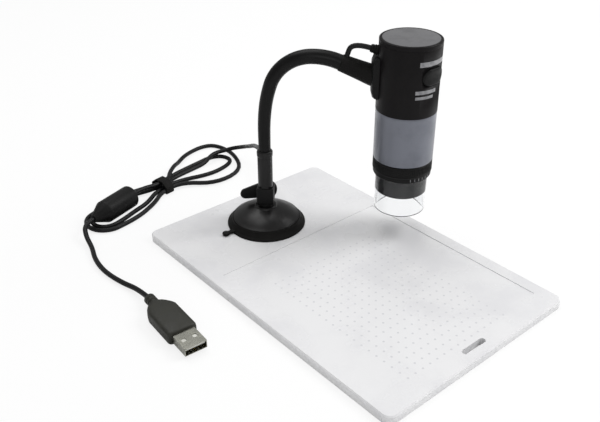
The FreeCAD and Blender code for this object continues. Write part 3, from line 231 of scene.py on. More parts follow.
cup_spot = Vector((-4.7, 62.2, 0))
arm = Matrix.Translation(cup_spot) @ Matrix.Rotation(radians(-45), 4, "Z")
hank = Matrix.Translation((-27, 143, 0)) @ Matrix.Rotation(radians(9), 4, "Z")
low, waist, over, step = 1.4, 2.4, 5.6, 3.4
choke_spot = Vector((-26.2, -0.5, 7.1))
choke_heading = 189.0


def facing(degrees, dip=0):
    """A direction in the hank's own plan, dipping below level."""
    turn, down = radians(degrees), radians(dip)
    return Vector((cos(turn) * cos(down), sin(turn) * cos(down), -sin(down)))


choke_way = facing(choke_heading)
choke_side = Vector((choke_way.y, -choke_way.x, 0))


def beside_choke(along, aside):
    """A place on the surface beside the choke."""
    spot = choke_spot + choke_way * along + choke_side * aside
    return Vector((spot.x, spot.y, low))


def fold(x, y, radius, *angles):
    """Places and directions along one end of a loop."""
    return [(Vector((x, y, low)) - facing(angle + 90) * radius, facing(angle)) for angle in angles]


loops = [
    (Vector((63.3, -11.0, 10.8)), facing(76, 25)),
    (Vector((60.8, 1.4, 5.6)), facing(138, 14)),
    (Vector((51.5, 4.9, 4.85)), facing(180, 3)),
    (Vector((38.0, 4.4, low)), facing(180)),
    (Vector((14.0, 4.0, 1.7)), facing(184)),
    (Vector((0, step / 2, waist)), facing(180)),
    (beside_choke(1, 8.1), choke_way),
    *fold(-49.0, -4.2, 8.3, choke_heading, 274, 364),
    (beside_choke(1, -8.1), -choke_way),
    (Vector((0, -step / 2, waist)), facing(0)),
    (Vector((44.0, -10.0, low)), facing(0)),
    (Vector((57.5, -1.0, low)), facing(90)),
    (Vector((46.0, 8.2, low)), facing(180)),
    (Vector((14.0, 7.4, 1.7)), facing(184)),
    (Vector((0, step * 1.5, waist)), facing(180)),
    (Vector((-15.0, 9.7, 1.7)), facing(168)),
    (beside_choke(1, 11.5), choke_way),
    *fold(-48.9, -4.4, 12.1, choke_heading, 274, 358),
    (Vector((-33.0, -15.7, low)), facing(9)),
    (Vector((-20.0, -12.0, low)), facing(20)),
    (Vector((0, -step * 1.5, waist)), facing(0)),
    (Vector((38.0, -22.2, low)), facing(0)),
    (Vector((66.3, 15.0, low)), facing(90)),
    (Vector((53.0, 24.8, low)), facing(180)),
    (Vector((33.0, 19.5, 2.3)), facing(206)),
    (Vector((17.0, 10.0, 5.0)), facing(211)),
    (Vector((0, 0, over)), facing(180)),
    (choke_spot - choke_way * 5, choke_way),
]


def turning_points(stations):
    """The two points between each pair of stations where their directions meet a common line."""
    points = []
    for (start, ahead), (end, onward) in zip(stations, stations[1:]):
        gap = end - start
        ways = ahead + onward
        square = 2 * (1 - ahead.dot(onward))
        along = gap.dot(ways)
        if square < 1e-6:
            reach = gap.length_squared / (4 * gap.dot(onward))
        else:
            reach = (-along + sqrt(along ** 2 + square * gap.length_squared)) / square
        points += [start + ahead * reach, end - onward * reach]
    return points


outlet_angle, outlet_dip = radians(106), radians(20)
outlet_way = Vector((cos(outlet_angle) * cos(outlet_dip),
                     sin(outlet_angle) * cos(outlet_dip), -sin(outlet_dip)))
outlet_level = 51.6
outlet = arm @ (Vector((0, 0, outlet_level)) + outlet_way * (4.6 / cos(outlet_dip)))
route = [outlet]
for reach, angle, level in ((15.0, 61.0, 45.2), (34.0, 60.3, 37.9), (54.0, 59.8, 29.0), (72.0, 60.2, 19.8)):
    turn = radians(angle)
    route.append(cup_spot + Vector((reach * cos(turn), reach * sin(turn), level)))
route.append(hank @ (loops[0][0] - facing(76, 25) * 7))
route += [hank @ point for point in turning_points(loops)]
choke_end = hank @ (choke_spot + choke_way * 33)
route += [hank @ choke_spot, hank @ (choke_spot + choke_way * 17), choke_end]
tail_way = (hank.to_3x3() @ choke_way).normalized()
plug_heading = radians(-94)
plug_way = Vector((cos(plug_heading), sin(plug_heading), 0))
plug_back = Vector((-97.6, 43.2, 4.0))
route += [
    choke_end + tail_way * 7.6 - Vector((0, 0, 0.7)),
    Vector((-94.6, 118.2, 3.8)),
    Vector((-96.0, 108.6, 1.6)),
    Vector((-100.4, 97.4, 1.5)),
    Vector((-102.2, 83.0, 1.5)),
    Vector((-100.0, 67.5, 1.5)),
    plug_back - plug_way * 12 - Vector((0, 0, 1.6)),
    plug_back,
]


def cord_curve(name, points, radius):
    """A round cord whose smooth line is steered by the points, in millimetres."""
    curve = bpy.data.curves.new(name, "CURVE")
    curve.dimensions = "3D"
    curve.bevel_depth = radius / 1000
    curve.bevel_resolution = 5
    curve.use_fill_caps = True
    line = curve.splines.new("NURBS")
    line.points.add(len(points) - 1)
    for place, point in zip(line.points, points):
        place.co = (*(point / 1000), 1)
    line.order_u = 3
    line.use_endpoint_u = True
    line.resolution_u = 5
    return placed(name, curve)


cord_radius = 1.4
usb_cord = cord_curve("usb_cord", route, cord_radius)
usb_cord.data.materials.append(cord_jacket)
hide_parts("cord_lead", "cord_hank", "cord_choke_run", "cord_tail")


# Observation plate: a 4.5 mm sheet of milky acrylic with eased edges, a shallow viewing field
# and a hanging slot. A faint dot lattice is printed on the field to help in placing a specimen.
def dress(node, material):
    """Give a piece its finish."""
    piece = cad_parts[node] if isinstance(node, str) else node
    piece.data.materials.clear()
    piece.data.materials.append(material)


plate_acrylic = finish_of("plate_acrylic", "#dededf", "#d6d6d8", 0.24, 0.34, patch=0.03, grain=0.0012,
                          depth=0.000004, Specular_IOR_Level=0.35, Coat_Weight=0.15, Coat_Roughness=0.12)
lattice_floor = 0.004


def print_dot_lattice(material, pitch, dot, field_low, field_high):
    """Faint grey dots at a pitch over a rectangle of the plate's top."""
    tree = material.node_tree
    place = tree.nodes.new("ShaderNodeTexCoord")
    parts = tree.nodes.new("ShaderNodeSeparateXYZ")
    tree.links.new(place.outputs["Object"], parts.inputs[0])
    squares = []
    tests = [math_step(tree, "GREATER_THAN", parts.outputs["Z"], lattice_floor)]
    for axis, start, end in zip("XY", field_low, field_high):
        near = math_step(tree, "PINGPONG", parts.outputs[axis], pitch / 2)
        squares.append(math_step(tree, "MULTIPLY", near, near))
        tests.append(math_step(tree, "GREATER_THAN", parts.outputs[axis], start))
        tests.append(math_step(tree, "LESS_THAN", parts.outputs[axis], end))
    mask = math_step(tree, "LESS_THAN", math_step(tree, "ADD", *squares), dot ** 2)
    for test in tests:
        mask = math_step(tree, "MULTIPLY", mask, test)
    colour = tree.nodes["Principled BSDF"].inputs["Base Color"]
    mix = tree.nodes.new("ShaderNodeMix")
    mix.data_type = "RGBA"
    for socket, value in ((0, mask), (6, colour.links[0].from_socket), (7, tint("#c9c9cc"))):
        feed(tree, value, mix.inputs[socket])
    tree.links.new(mix.outputs[2], colour)



print_dot_lattice(plate_acrylic, 0.005, 0.0006, (-0.041, -0.086), (0.034, 0.013))
dress("observation_plate", plate_acrylic)


# Suction cup: a soft black rubber skirt with a pull tab, under a hard glossy dome that presses
# its rim to the plate. The dome is one injection moulding with a raised boss for the lock.
def eased(profile, radius, closed=True, steps=4):
    """A profile whose corners are rounded, by less where its sides are short."""
    points = [Vector(p[:2]) for p in profile]
    limits = [p[2] if len(p) > 2 else radius for p in profile]
    result = []
    count = len(points)
    for i, (corner, limit) in enumerate(zip(points, limits)):
        if limit == 0 or (not closed and i in (0, count - 1)):
            result.append(corner)
            continue
        into, out = points[i - 1] - corner, points[(i + 1) % count] - corner
        half = into.angle(out) / 2
        if half > pi / 2 - 0.02:
            result.append(corner)
            continue
        reach = min(limit / tan(half), 0.48 * into.length, 0.48 * out.length)
        size = reach * tan(half)
        middle = corner + (into.normalized() + out.normalized()).normalized() * (size / sin(half))
        start = corner + into.normalized() * reach - middle
        end = corner + out.normalized() * reach - middle
        sweep = start.angle_signed(end)
        for k in range(steps + 1):
            turn = -sweep * k / steps
            result.append(middle + Matrix.Rotation(turn, 2) @ start)
    return result


def piece_from(name, bm, place, material, angle=40):
    """A finished mesh piece: set in its place in millimetres, closed, turned outwards and smooth."""
    bmesh.ops.remove_doubles(bm, verts=bm.verts, dist=1e-5)
    bm.transform(Matrix.Scale(0.001, 4) @ place)
    bmesh.ops.recalc_face_normals(bm, faces=bm.faces)
    mesh = mesh_of(name, bm)
    mesh.shade_smooth()
    mesh.set_sharp_from_angle(angle=radians(angle))
    mesh.materials.append(material)
    thing = placed(name, mesh)
    return thing


def turned(profile, closed=True, around=96):
    """A mesh turned about Z from a profile of radii and heights; a radius of 0 is a pole."""
    bm = bmesh.new()
    rings = []
    for radius, height in profile:
        if radius < 1e-6:
            rings.append([bm.verts.new((0, 0, height))])
            continue
        turns = [2 * pi * k / around for k in range(around)]
        rings.append([bm.verts.new((radius * cos(a), radius * sin(a), height)) for a in turns])
    pairs = list(zip(rings, rings[1:]))
    if closed:
        pairs.append((rings[-1], rings[0]))
    for lower, upper in pairs:
        for k in range(around):
            n = (k + 1) % around
            corners = [lower[k % len(lower)], lower[n % len(lower)], upper[n % len(upper)],
                       upper[k % len(upper)]]
            unique = list(dict.fromkeys(corners))
            if len(unique) > 2:
                bm.faces.new(unique)
    return bm


def lathe(profile, ease, closed=False, around=96):
    """A mesh turned from a profile whose corners are eased."""
    return turned(eased(profile, ease), closed, around)


plate_top, skirt_top, dome_top = 4.5, 9.3, 16.8
soft_rubber = finish_of("soft_rubber", "#0d0c0b", "#151413", 0.55, 0.7, patch=0.006, grain=0.0003,
                        depth=0.00002, Specular_IOR_Level=0.12)
gloss_shell = finish_of("gloss_shell", "#0b0a0a", "#100f0f", 0.3, 0.4, patch=0.012, grain=0.002,
                        depth=0.000003, Specular_IOR_Level=0.3)
skirt = lathe([
    (0.0, skirt_top - 1.2, 0), (12.6, skirt_top - 1.2), (17.4, 7.2), (20.9, plate_top, 0),
    (23.2, plate_top, 0.3), (23.1, plate_top + 0.9, 0.5), (22.0, plate_top + 1.7, 0.8),
    (20.4, skirt_top - 1.1, 0.5), (20.3, skirt_top - 0.6, 0.4), (19.8, skirt_top, 0.3), (0.0, skirt_top, 0),
], 0.5, around=128)
tab = bmesh.new()
outline = [(21.2, -1.7), (25.1, -1.2), *[(27.6 + 2.2 * cos(a), 2.2 * sin(a)) for a in
           [radians(-150 + 30 * k) for k in range(11)]], (25.1, 1.2), (21.2, 1.7)]


def slab_of(bm, outline, low_z, high_z, ease=0.0, segments=3):
    """Adds an upright slab with an outline, its top and bottom edges rounded."""
    bottom = [bm.verts.new((x, y, low_z)) for x, y in outline]
    top = [bm.verts.new((x, y, high_z)) for x, y in outline]
    lids = [bm.faces.new(bottom), bm.faces.new(top)]
    for k in range(len(outline)):
        n = (k + 1) % len(outline)
        bm.faces.new((bottom[k], bottom[n], top[n], top[k]))
    bmesh.ops.recalc_face_normals(bm, faces=bm.faces)
    if ease:
        rims = list({edge for lid in lids for edge in lid.edges})
        bmesh.ops.bevel(bm, geom=rims, offset=ease, segments=segments, profile=0.5, affect="EDGES",
                        clamp_overlap=True)
    return bm


slab_of(tab, outline, plate_top + 0.3, plate_top + 1.9, 0.5)
tab.transform(Matrix.Rotation(radians(218), 4, "Z"))
skirt.from_mesh(mesh_of("tab", tab))
cup_skirt = piece_from("cup_skirt", skirt, arm, soft_rubber)
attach(cup_skirt, "base")
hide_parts("cup_membrane")

rise, reach = 7.2, 19.6
arch = (reach ** 2 + rise ** 2) / (2 * rise)
crown = [(arch * sin(a), skirt_top + rise - arch + arch * cos(a))
         for a in [asin(reach / arch) * (1 - k / 14) for k in range(10)]]
dome_profile = [(17.7, skirt_top), (19.5, skirt_top), (19.55, skirt_top + 0.3), *crown[1:],
                (6.6, skirt_top + rise - 0.6), (6.2, dome_top - 0.1), (6.0, dome_top), (2.05, dome_top),
                (2.05, dome_top - 3.0), (5.8, dome_top - 3.0), (10.5, dome_top - 3.9),
                (14.6, skirt_top + 2.4)]
dome = piece_from("cup_dome_shell", turned([Vector(p) for p in dome_profile], around=160), arm, gloss_shell)
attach(dome, "base")
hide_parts("cup_dome")


# Vacuum lock: a black nylon block on the dome's boss, with a cam lever beside it. Turned up, the
# lever's cam lets the white stud drop, and the cup lets go of the plate.
def rounded_box(bm, low_corner, high_corner, ease, segments=3):
    """Adds a box with every edge rounded."""
    size = Vector(high_corner) - Vector(low_corner)
    middle = (Vector(high_corner) + Vector(low_corner)) / 2
    made = bmesh.ops.create_cube(bm, size=1, matrix=Matrix.Translation(middle) @ Matrix.Diagonal((*size, 1)))
    edges = list({edge for vert in made["verts"] for edge in vert.link_edges})
    bmesh.ops.bevel(bm, geom=edges, offset=ease, segments=segments, profile=0.5, affect="EDGES")
    return bm


nylon = finish_of("nylon", "#0e0e0e", "#151515", 0.45, 0.6, patch=0.005, grain=0.00035, depth=0.00002,
                  Specular_IOR_Level=0.15)
block_low, block_top, pivot_z = 18.2, 29.0, 23.2
block = bmesh.new()
rounded_box(block, (-4.9, -4.6, block_low), (4.9, 4.6, block_top), 0.9)
foot_top = block_low + 0.4
foot = lathe([(0, dome_top), (4.4, dome_top, 0), (4.4, foot_top, 0), (0, foot_top)], 0.1, around=64)
block.from_mesh(mesh_of("pedestal", foot))
lock_body = piece_from("lock_body", block, arm, nylon)
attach(lock_body, "base")
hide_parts("socket_block")

swing = arm @ Matrix.Translation((0, 0, pivot_z)) @ Matrix.Rotation(radians(-16), 4, "Y")
side_on = swing @ Matrix.Rotation(radians(90), 4, "X")
hub, reach, tip = 6.0, 13.6, 3.0
spine = []
for k in range(33):
    a = radians(-128 + 256 * k / 32)
    spine.append((hub * cos(a), hub * sin(a)))
for k in range(17):
    a = radians(97 + 166 * k / 16)
    spine.append((-reach + tip * cos(a), tip * sin(a)))
lever = slab_of(bmesh.new(), spine, -8.0, -5.0, 0.8, 4)
lever_arm = piece_from("lever_arm", lever, side_on, nylon)
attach(lever_arm, "lever")
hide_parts("lock_lever")

plated_steel = finish_of("plated_steel", "#a6a69d", "#8c8c83", 0.2, 0.34, patch=0.004, grain=0.0006,
                         depth=0.000004, Metallic=1.0)
white_nylon = finish_of("white_nylon", "#cfcfc9", "#bcbcb4", 0.4, 0.55, Specular_IOR_Level=0.4)
dress("cam_shaft", plated_steel)
dress("vacuum_stud", white_nylon)

# Lower ferrule: a turned black tube glued into the block, with a thicker lip at its mouth where
# the cord comes out. The gooseneck turns on its spigot. The cord inside the arm keeps its rest
# shape when the arm bends.
ferrule_top = block_top + 20.1 + 3.2
ferrule = lathe([
    (0, block_top, 0), (4.3, block_top, 0.2), (4.3, ferrule_top - 3.8, 0.5), (4.5, ferrule_top - 3.3, 0.4),
    (4.6, ferrule_top - 2.4, 0.6), (4.6, ferrule_top - 0.7, 0.6), (4.0, ferrule_top, 0.3),
    (0, ferrule_top, 0),
], 0.3, around=80)
ferrule_tube = piece_from("ferrule_tube", ferrule, arm, gloss_shell)
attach(ferrule_tube, "base")
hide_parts("lower_ferrule")
dress("cord_arm_run", cord_jacket)

# Gooseneck: a steel spiral inside a smooth black PVC sleeve, which thickens a little towards the
# head. Each length of sleeve after the first is curved over one joint of the spiral, in the rest shape.
swivel_length, link_length, stub_length = 10.4, 14.75, 1.3
neck_radius, neck_growth = 3.45, 0.75
bends = (6.6, 11.4, 35.0, 35.0, 23.0)


def leaning(degrees):
    """The direction in the arm's plane at an angle from upright."""
    return Vector((sin(radians(degrees)), 0, cos(radians(degrees))))


neck_sleeve = finish_of("neck_sleeve", "#0d0d0d", "#131313", 0.36, 0.48, patch=0.012, grain=0.0009,
                        depth=0.000012, Specular_IOR_Level=0.15)
knots = [Vector((0, 0, ferrule_top + 0.1)), Vector((0, 0, ferrule_top + swivel_length))]
leans = [0.0, 0.0]
for bend in bends:
    chord = 2 * link_length / radians(bend) * sin(radians(bend) / 2)
    knots.append(knots[-1] + leaning(leans[-1] + bend / 2) * chord)
    leans.append(leans[-1] + bend)
knots.append(knots[-1] + leaning(leans[-1]) * stub_length)
leans.append(leans[-1])
spans = [swivel_length, *[link_length] * len(bends), stub_length]


def along_neck(distance):
    """The place and lean of the sleeve's centre line at a distance from its foot."""
    for k, span in enumerate(spans):
        if distance <= span or k == len(spans) - 1:
            part = min(max(distance / span, 0), 1)
            bend = leans[k + 1] - leans[k]
            lean = leans[k] + bend * part
            if abs(bend) < 1e-6:
                return knots[k] + leaning(lean) * span * part, lean
            size = span / radians(bend)
            chord = 2 * size * sin(radians(bend * part) / 2)
            return knots[k] + leaning(leans[k] + bend * part / 2) * chord, lean
        distance -= span


def sleeve_between(start, end, total, around=40):
    """A closed length of sleeve between two distances along the neck."""
    bm = bmesh.new()
    count = max(2, round((end - start) / 0.7))
    rings = []
    for k in range(count + 1):
        distance = start + (end - start) * k / count
        centre, lean = along_neck(distance)
        radius = neck_radius + neck_growth * distance / total
        side, cross = leaning(lean + 90), Vector((0, 1, 0))
        turns = [2 * pi * n / around for n in range(around)]
        rings.append([bm.verts.new(centre + side * radius * cos(a) + cross * radius * sin(a))
                      for a in turns])
    join_rings(bm, rings)
    return bm


neck_total = sum(spans)
hinge_at = [swivel_length + link_length * k for k in range(6)]
cuts = [0.0, hinge_at[0] - 5.0, *[at + link_length / 2 for at in hinge_at[:5]], neck_total]
neck_nodes = ["neck_swivel", "neck_link_1", "neck_link_2", "neck_link_3", "neck_link_4", "neck_link_5"]
for k, (start, end) in enumerate(zip(cuts, cuts[1:])):
    length = piece_from(f"neck_sleeve_{k}", sleeve_between(start, end, neck_total), arm, neck_sleeve,
                        angle=60)
    if k == 0:
        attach(length, "neck_0")
    else:
        joint = hinge_at[k - 1]
        ends = [arm @ along_neck(joint + shift)[0] / 1000 for shift in (-4.0, 4.0 if k < 6 else 1.0)]
        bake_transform(length)
    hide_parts(neck_nodes[min(k, 5)])

# Head sleeve and shoe: a tapered rubber boot runs from the last joint to a curved nylon shoe,
# which two screws from inside hold against the housing.
last = knots[-2]
way = leaning(leans[-1])
boot_place = arm @ Matrix.Translation(last) @ Matrix.Rotation(radians(leans[-1]), 4, "Y")
body_radius, body_bore = 16.8, 15.2
boot_reach, shoe_depth, shoe_level = 18.7, 3.3, 79.4
boot_end = last + way * boot_reach
scope_x = boot_end.x + shoe_depth + body_radius
nose_z = boot_end.z - shoe_level
scope = arm @ Matrix.Translation((scope_x, 0, nose_z))
boot = lathe([
    (0, 1.0, 0), (4.2, 1.0, 0.2), (4.6, 1.5, 0.5), (5.15, 11.0, 0.2), (5.7, 18.6, 0), (5.8, 21.0, 0),
    (0, 21.0, 0),
], 0.3, around=64)
sleeve_boot = piece_from("sleeve_boot", boot, boot_place, soft_rubber)
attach(sleeve_boot, "head")
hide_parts("head_sleeve")

shoe_face_radius, shoe_steps = 16.9, 12
shoe = bmesh.new()
rows = []
levels = [shoe_level + rise for rise in (-12.0, -11.0, -8.0, -4.0, 0.0, 4.0, 7.6, 9.7, 10.6)]
halves = [5.9, 6.4, 6.5, 6.5, 6.5, 6.5, 6.5, 6.4, 5.9]
backs = [17.9, 19.2, 20.0, 20.1, 20.1, 20.1, 20.1, 19.4, 18.2]
for level, half, back in zip(levels, halves, backs):
    row = []
    for k in range(shoe_steps + 1):
        y = -half + 2 * half * k / shoe_steps
        drop = 1.1 * abs(y / half) ** 4
        row.append((-back + drop, y, level))
    for k in range(shoe_steps + 1):
        y = half - 2 * half * k / shoe_steps
        row.append((-sqrt(shoe_face_radius ** 2 - y ** 2), y, level))
    rows.append([shoe.verts.new(p) for p in row])
join_rings(shoe, rows)
shoe_pad = piece_from("shoe_pad", shoe, scope, nylon, angle=50)
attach(shoe_pad, "head")
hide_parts("mount_shoe")
zinc = finish_of("zinc", "#777772", "#5e5e5a", 0.3, 0.5, Metallic=1.0)
dress("shoe_screws", zinc)
dress("sleeve_screw", zinc)

# Microscope body: a black housing above a silver-blue grip tube, both ABS shells about
# 1.5 mm thick on an inner frame, closed by a cap with a black rim. The cap's top disc is painted grey as a
# painted reflection of the light from above. The joints are fine lines.
ring_low, grip_low, housing_low = 22.3, 32.1, 60.9
cap_low, cap_top = 98.0, 100.5
body_black = finish_of("body_black", "#0e0c0d", "#131112", 0.4, 0.5, patch=0.014, grain=0.00035,
                       depth=0.000012, Specular_IOR_Level=0.12)
grip_silver = finish_of("grip_silver", "#6f727b", "#666972", 0.34, 0.44, patch=0.02, grain=0.00018,
                        depth=0.000006, Metallic=0.55, Coat_Weight=0.25, Coat_Roughness=0.2)
# Painted reflection: this grey stands in for the light that falls on and reflects off the cap's top face.
cap_top_painted_sheen = finish_of("cap_top_painted_sheen", "#626264", "#5a5a5c", 0.34, 0.44, patch=0.012, Specular_IOR_Level=0.4)


def shell_tube(outer, inner, low_z, high_z, ease=0.3):
    """The profile of a plain tube with eased edges."""
    corners = [(inner, low_z, 0.1), (outer, low_z, ease), (outer, high_z, ease), (inner, high_z, 0.1)]
    return eased(corners, ease)


housing = piece_from("housing_shell", turned(shell_tube(body_radius, body_bore, housing_low, cap_low, 0.25),
                                             around=160), scope, body_black)
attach(housing, "head")
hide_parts("upper_housing")
grip_profile = eased([
    (body_bore, grip_low, 0.1), (16.55, grip_low, 0.2), (16.7, grip_low + 0.8, 0.2),
    (16.7, housing_low - 0.9, 0.2), (16.55, housing_low, 0.15), (body_bore, housing_low, 0.1),
], 0.2)
grip = piece_from("grip_tube", turned(grip_profile, around=160), scope, grip_silver)
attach(grip, "head")
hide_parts("grip_sleeve")
rim = lathe([
    (0, cap_low - 3.4, 0), (15.15, cap_low - 3.4, 0.1), (15.15, cap_low, 0), (body_radius, cap_low, 0.15),
    (body_radius, cap_top - 0.35, 0.7), (15.9, cap_top, 0.3), (15.3, cap_top - 0.25, 0.1),
    (0, cap_top - 0.25, 0),
], 0.3, around=160)
cap_rim = piece_from("cap_rim", rim, scope, body_black)
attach(cap_rim, "head")
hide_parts("top_cap")
# The top disc carries the painted reflection: its grey stands in for light on the top face.
lid_steps = ((0, -0.3), (15.25, -0.3), (15.2, -0.12), (15.0, -0.05), (8.0, -0.02), (0, 0))
lid = turned([(radius, cap_top + step) for radius, step in lid_steps], closed=False, around=160)
cap_disc = piece_from("cap_disc", lid, scope, cap_top_painted_sheen)
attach(cap_disc, "head")
for node in ("inner_frame", "button_switch"):
    dress(node, nylon)

# Snapshot button and its marks: a low oval key in a hole of its own on the side away from the arm,
# with a bare silver name strip above it and two short silver bars below it.
key_level, key_turn = housing_low + 22.6, -42.0
key_straight, key_round, key_face = 3.0, 4.5, 17.6
key_place = scope @ Matrix.Rotation(radians(key_turn), 4, "Z") @ Matrix.Translation((0, 0, key_level))


def oval_ring(bm, grown, out, sink=None):
    """A ring of vertices round the key's oval; with a sink they lie that far below its curved face."""
    half, size = key_straight, key_round + grown
    places = []
    for side, start in ((1, -90), (-1, 90)):
        for k in range(17):
            a = radians(start + 180 * k / 16)
            places.append((side * half + size * cos(a), size * sin(a)))
    return [bm.verts.new((out if sink is None else sqrt(key_face ** 2 - y ** 2) - sink, y, z))
            for y, z in places]


def oval_solid(steps):
    """A closed solid through rings of the key's oval, each with its growth, place and sink."""
    bm = bmesh.new()
    rings = [oval_ring(bm, *given) for given in steps]
    join_rings(bm, rings)
    return bm


cutter = piece_from("cutter", oval_solid([(0.14, 12.8), (0.14, 19.0)]), key_place, body_black)
carve = housing.modifiers.new("key_hole", "BOOLEAN")
carve.operation = "DIFFERENCE"
carve.solver = "EXACT"
carve.object = cutter
bpy.context.view_layer.update()
carved = settled(housing)
housing.modifiers.clear()
housing.data = carved
carved.materials.clear()
carved.materials.append(body_black)
bpy.data.objects.remove(cutter)
key = oval_solid([(0.9, 11.2), (0.9, 12.35), (0.0, 12.35), (0.0, 0.0, 0.75), (-0.08, 0.0, 0.4),
                  (-0.3, 0.0, 0.12), (-0.7, 0.0, 0.0), (-1.6, 0.0, 0.05), (-2.8, 0.0, 0.2),
                  (-4.0, 0.0, 0.3), (-4.4, 0.0, 0.3)])
button_key = piece_from("button_key", key, key_place, nylon)
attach(button_key, "button")
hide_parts("snapshot_button")
silver_ink = finish_of("silver_ink", "#8e8e90", "#77777a", 0.35, 0.5, patch=0.003, Metallic=0.4)


def wrapped_mark(name, half_width, low_z, high_z, turn, proud=0.03, radius=body_radius):
    """A thin printed bar that follows the housing's curve."""
    bm = bmesh.new()
    columns = []
    count = 16
    for k in range(count + 1):
        angle = radians(turn) + half_width / radius * (2 * k / count - 1)
        for size in (radius - 0.25, radius + proud):
            x, y = size * cos(angle), size * sin(angle)
            columns.append([bm.verts.new((x, y, z)) for z in (low_z, high_z)])
    inner, outer = columns[0::2], columns[1::2]
    for k in range(count):
        bm.faces.new((outer[k][0], outer[k + 1][0], outer[k + 1][1], outer[k][1]))
        bm.faces.new((inner[k][0], inner[k][1], inner[k + 1][1], inner[k + 1][0]))
        for end in (0, 1):
            bm.faces.new((inner[k][end], inner[k + 1][end], outer[k + 1][end], outer[k][end]))
    for k in (0, count):
        bm.faces.new((inner[k][0], inner[k][1], outer[k][1], outer[k][0]))
    mark = piece_from(name, bm, scope, silver_ink)
    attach(mark, "head")


wrapped_mark("name_strip", 11.5, key_level + 6.2, key_level + 8.8, turn=key_turn + 6)
wrapped_mark("mark_bar_upper", 6.4, key_level - 8.6, key_level - 6.6, turn=key_turn - 16)
wrapped_mark("mark_bar_lower", 5.4, key_level - 11.4, key_level - 9.8, turn=key_turn - 19)

# Focus ring: a knurled black ring that turns on the frame and moves the lens barrel. It carries
# a short silver scale of plain ticks.
ring_profile = eased([
    (14.3, ring_low + 0.1, 0.1), (16.0, ring_low + 0.1, 0.3), (16.35, ring_low + 0.8, 0.3),
    (16.35, ring_low + 3.0, 0.2), (16.7, ring_low + 3.3, 0.2), (16.7, ring_low + 4.0, 0.1),
    (16.45, ring_low + 4.2, 0.1), (16.45, grip_low - 1.2, 0.1), (16.7, grip_low - 1.0, 0.1),
    (16.7, grip_low - 0.5, 0.3), (16.2, grip_low - 0.1, 0.2), (15.4, grip_low - 0.1, 0.1),
    (15.4, ring_low + 3.5, 0.1), (14.3, ring_low + 3.5, 0.1),
], 0.2)
ring = piece_from("focus_ring_body", turned(ring_profile, around=160), scope, nylon)
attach(ring, "ring")
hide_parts("focus_ring")


def ring_of_copies(name, template, count, radius, level, start, sweep, material):
    """A tree of nodes that sets copies of a shape round the ring, facing outwards."""
    tree = bpy.data.node_groups.new(name, "GeometryNodeTree")
    for label, kind, value in (("Shape", "NodeSocketObject", None), ("Count", "NodeSocketInt", count),
                               ("Radius", "NodeSocketFloat", radius), ("Level", "NodeSocketFloat", level),
                               ("Start", "NodeSocketFloat", start), ("Sweep", "NodeSocketFloat", sweep),
                               ("Finish", "NodeSocketMaterial", None)):
        socket = tree.interface.new_socket(label, in_out="INPUT", socket_type=kind)
        if value is not None:
            socket.default_value = value
    tree.interface.new_socket("Geometry", in_out="OUTPUT", socket_type="NodeSocketGeometry")
    nodes, link = tree.nodes, tree.links.new
    given, result = nodes.new("NodeGroupInput"), nodes.new("NodeGroupOutput")
    points = nodes.new("GeometryNodePoints")
    link(given.outputs["Count"], points.inputs["Count"])
    index = nodes.new("GeometryNodeInputIndex")
    share = math_step(tree, "DIVIDE", index.outputs[0], given.outputs["Count"])
    angle = math_step(tree, "MULTIPLY_ADD", share, given.outputs["Sweep"], given.outputs["Start"])
    place = nodes.new("ShaderNodeCombineXYZ")
    for operation, axis in (("COSINE", "X"), ("SINE", "Y")):
        part = math_step(tree, operation, angle)
        link(math_step(tree, "MULTIPLY", part, given.outputs["Radius"]), place.inputs[axis])
    link(given.outputs["Level"], place.inputs["Z"])
    link(place.outputs[0], points.inputs["Position"])
    spin = nodes.new("ShaderNodeCombineXYZ")
    link(angle, spin.inputs["Z"])
    info = nodes.new("GeometryNodeObjectInfo")
    link(given.outputs["Shape"], info.inputs["Object"])
    copies = nodes.new("GeometryNodeInstanceOnPoints")
    link(points.outputs[0], copies.inputs["Points"])
    link(info.outputs["Geometry"], copies.inputs["Instance"])
    link(spin.outputs[0], copies.inputs["Rotation"])
    real = nodes.new("GeometryNodeRealizeInstances")
    link(copies.outputs[0], real.inputs[0])
    painted = nodes.new("GeometryNodeSetMaterial")
    link(real.outputs[0], painted.inputs["Geometry"])
    link(given.outputs["Finish"], painted.inputs["Material"])
    link(painted.outputs[0], result.inputs[0])
    holder = placed(name, bpy.data.meshes.new(name))
    modifier = holder.modifiers.new("copies", "NODES")
    modifier.node_group = tree
    sockets = {item.name: item.identifier for item in tree.interface.items_tree if item.in_out == "INPUT"}
    modifier[sockets["Shape"]] = template
    modifier[sockets["Finish"]] = material
    bpy.context.view_layer.update()
    mesh = settled(holder)
    bpy.data.objects.remove(holder)
    bpy.data.objects.remove(template)
    bm = bmesh.new()
    bm.from_mesh(mesh)
    return bm


def template_box(low_corner, high_corner, ease, segments=2):
    """A small rounded block to copy."""
    bm = rounded_box(bmesh.new(), low_corner, high_corner, ease, segments)
    return placed("template", mesh_of("template", bm))


rib = template_box((-0.4, -0.28, 0), (0.0, 0.28, 4.3), 0.1)
ribs = ring_of_copies("ring_ribs", rib, 96, 16.68, ring_low + 4.25, 0.0, 2 * pi, nylon)
ring_ribs = piece_from("ring_ribs", ribs, scope, nylon)
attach(ring_ribs, "ring")
tick = template_box((-0.2, -0.16, 0), (0.02, 0.16, 1.5), 0.02, 1)
ticks = ring_of_copies("ring_ticks", tick, 9, 16.36, ring_low + 1.1, radians(-75), radians(80), silver_ink)
ring_ticks = piece_from("ring_ticks", ticks, scope, silver_ink)
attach(ring_ticks, "ring")

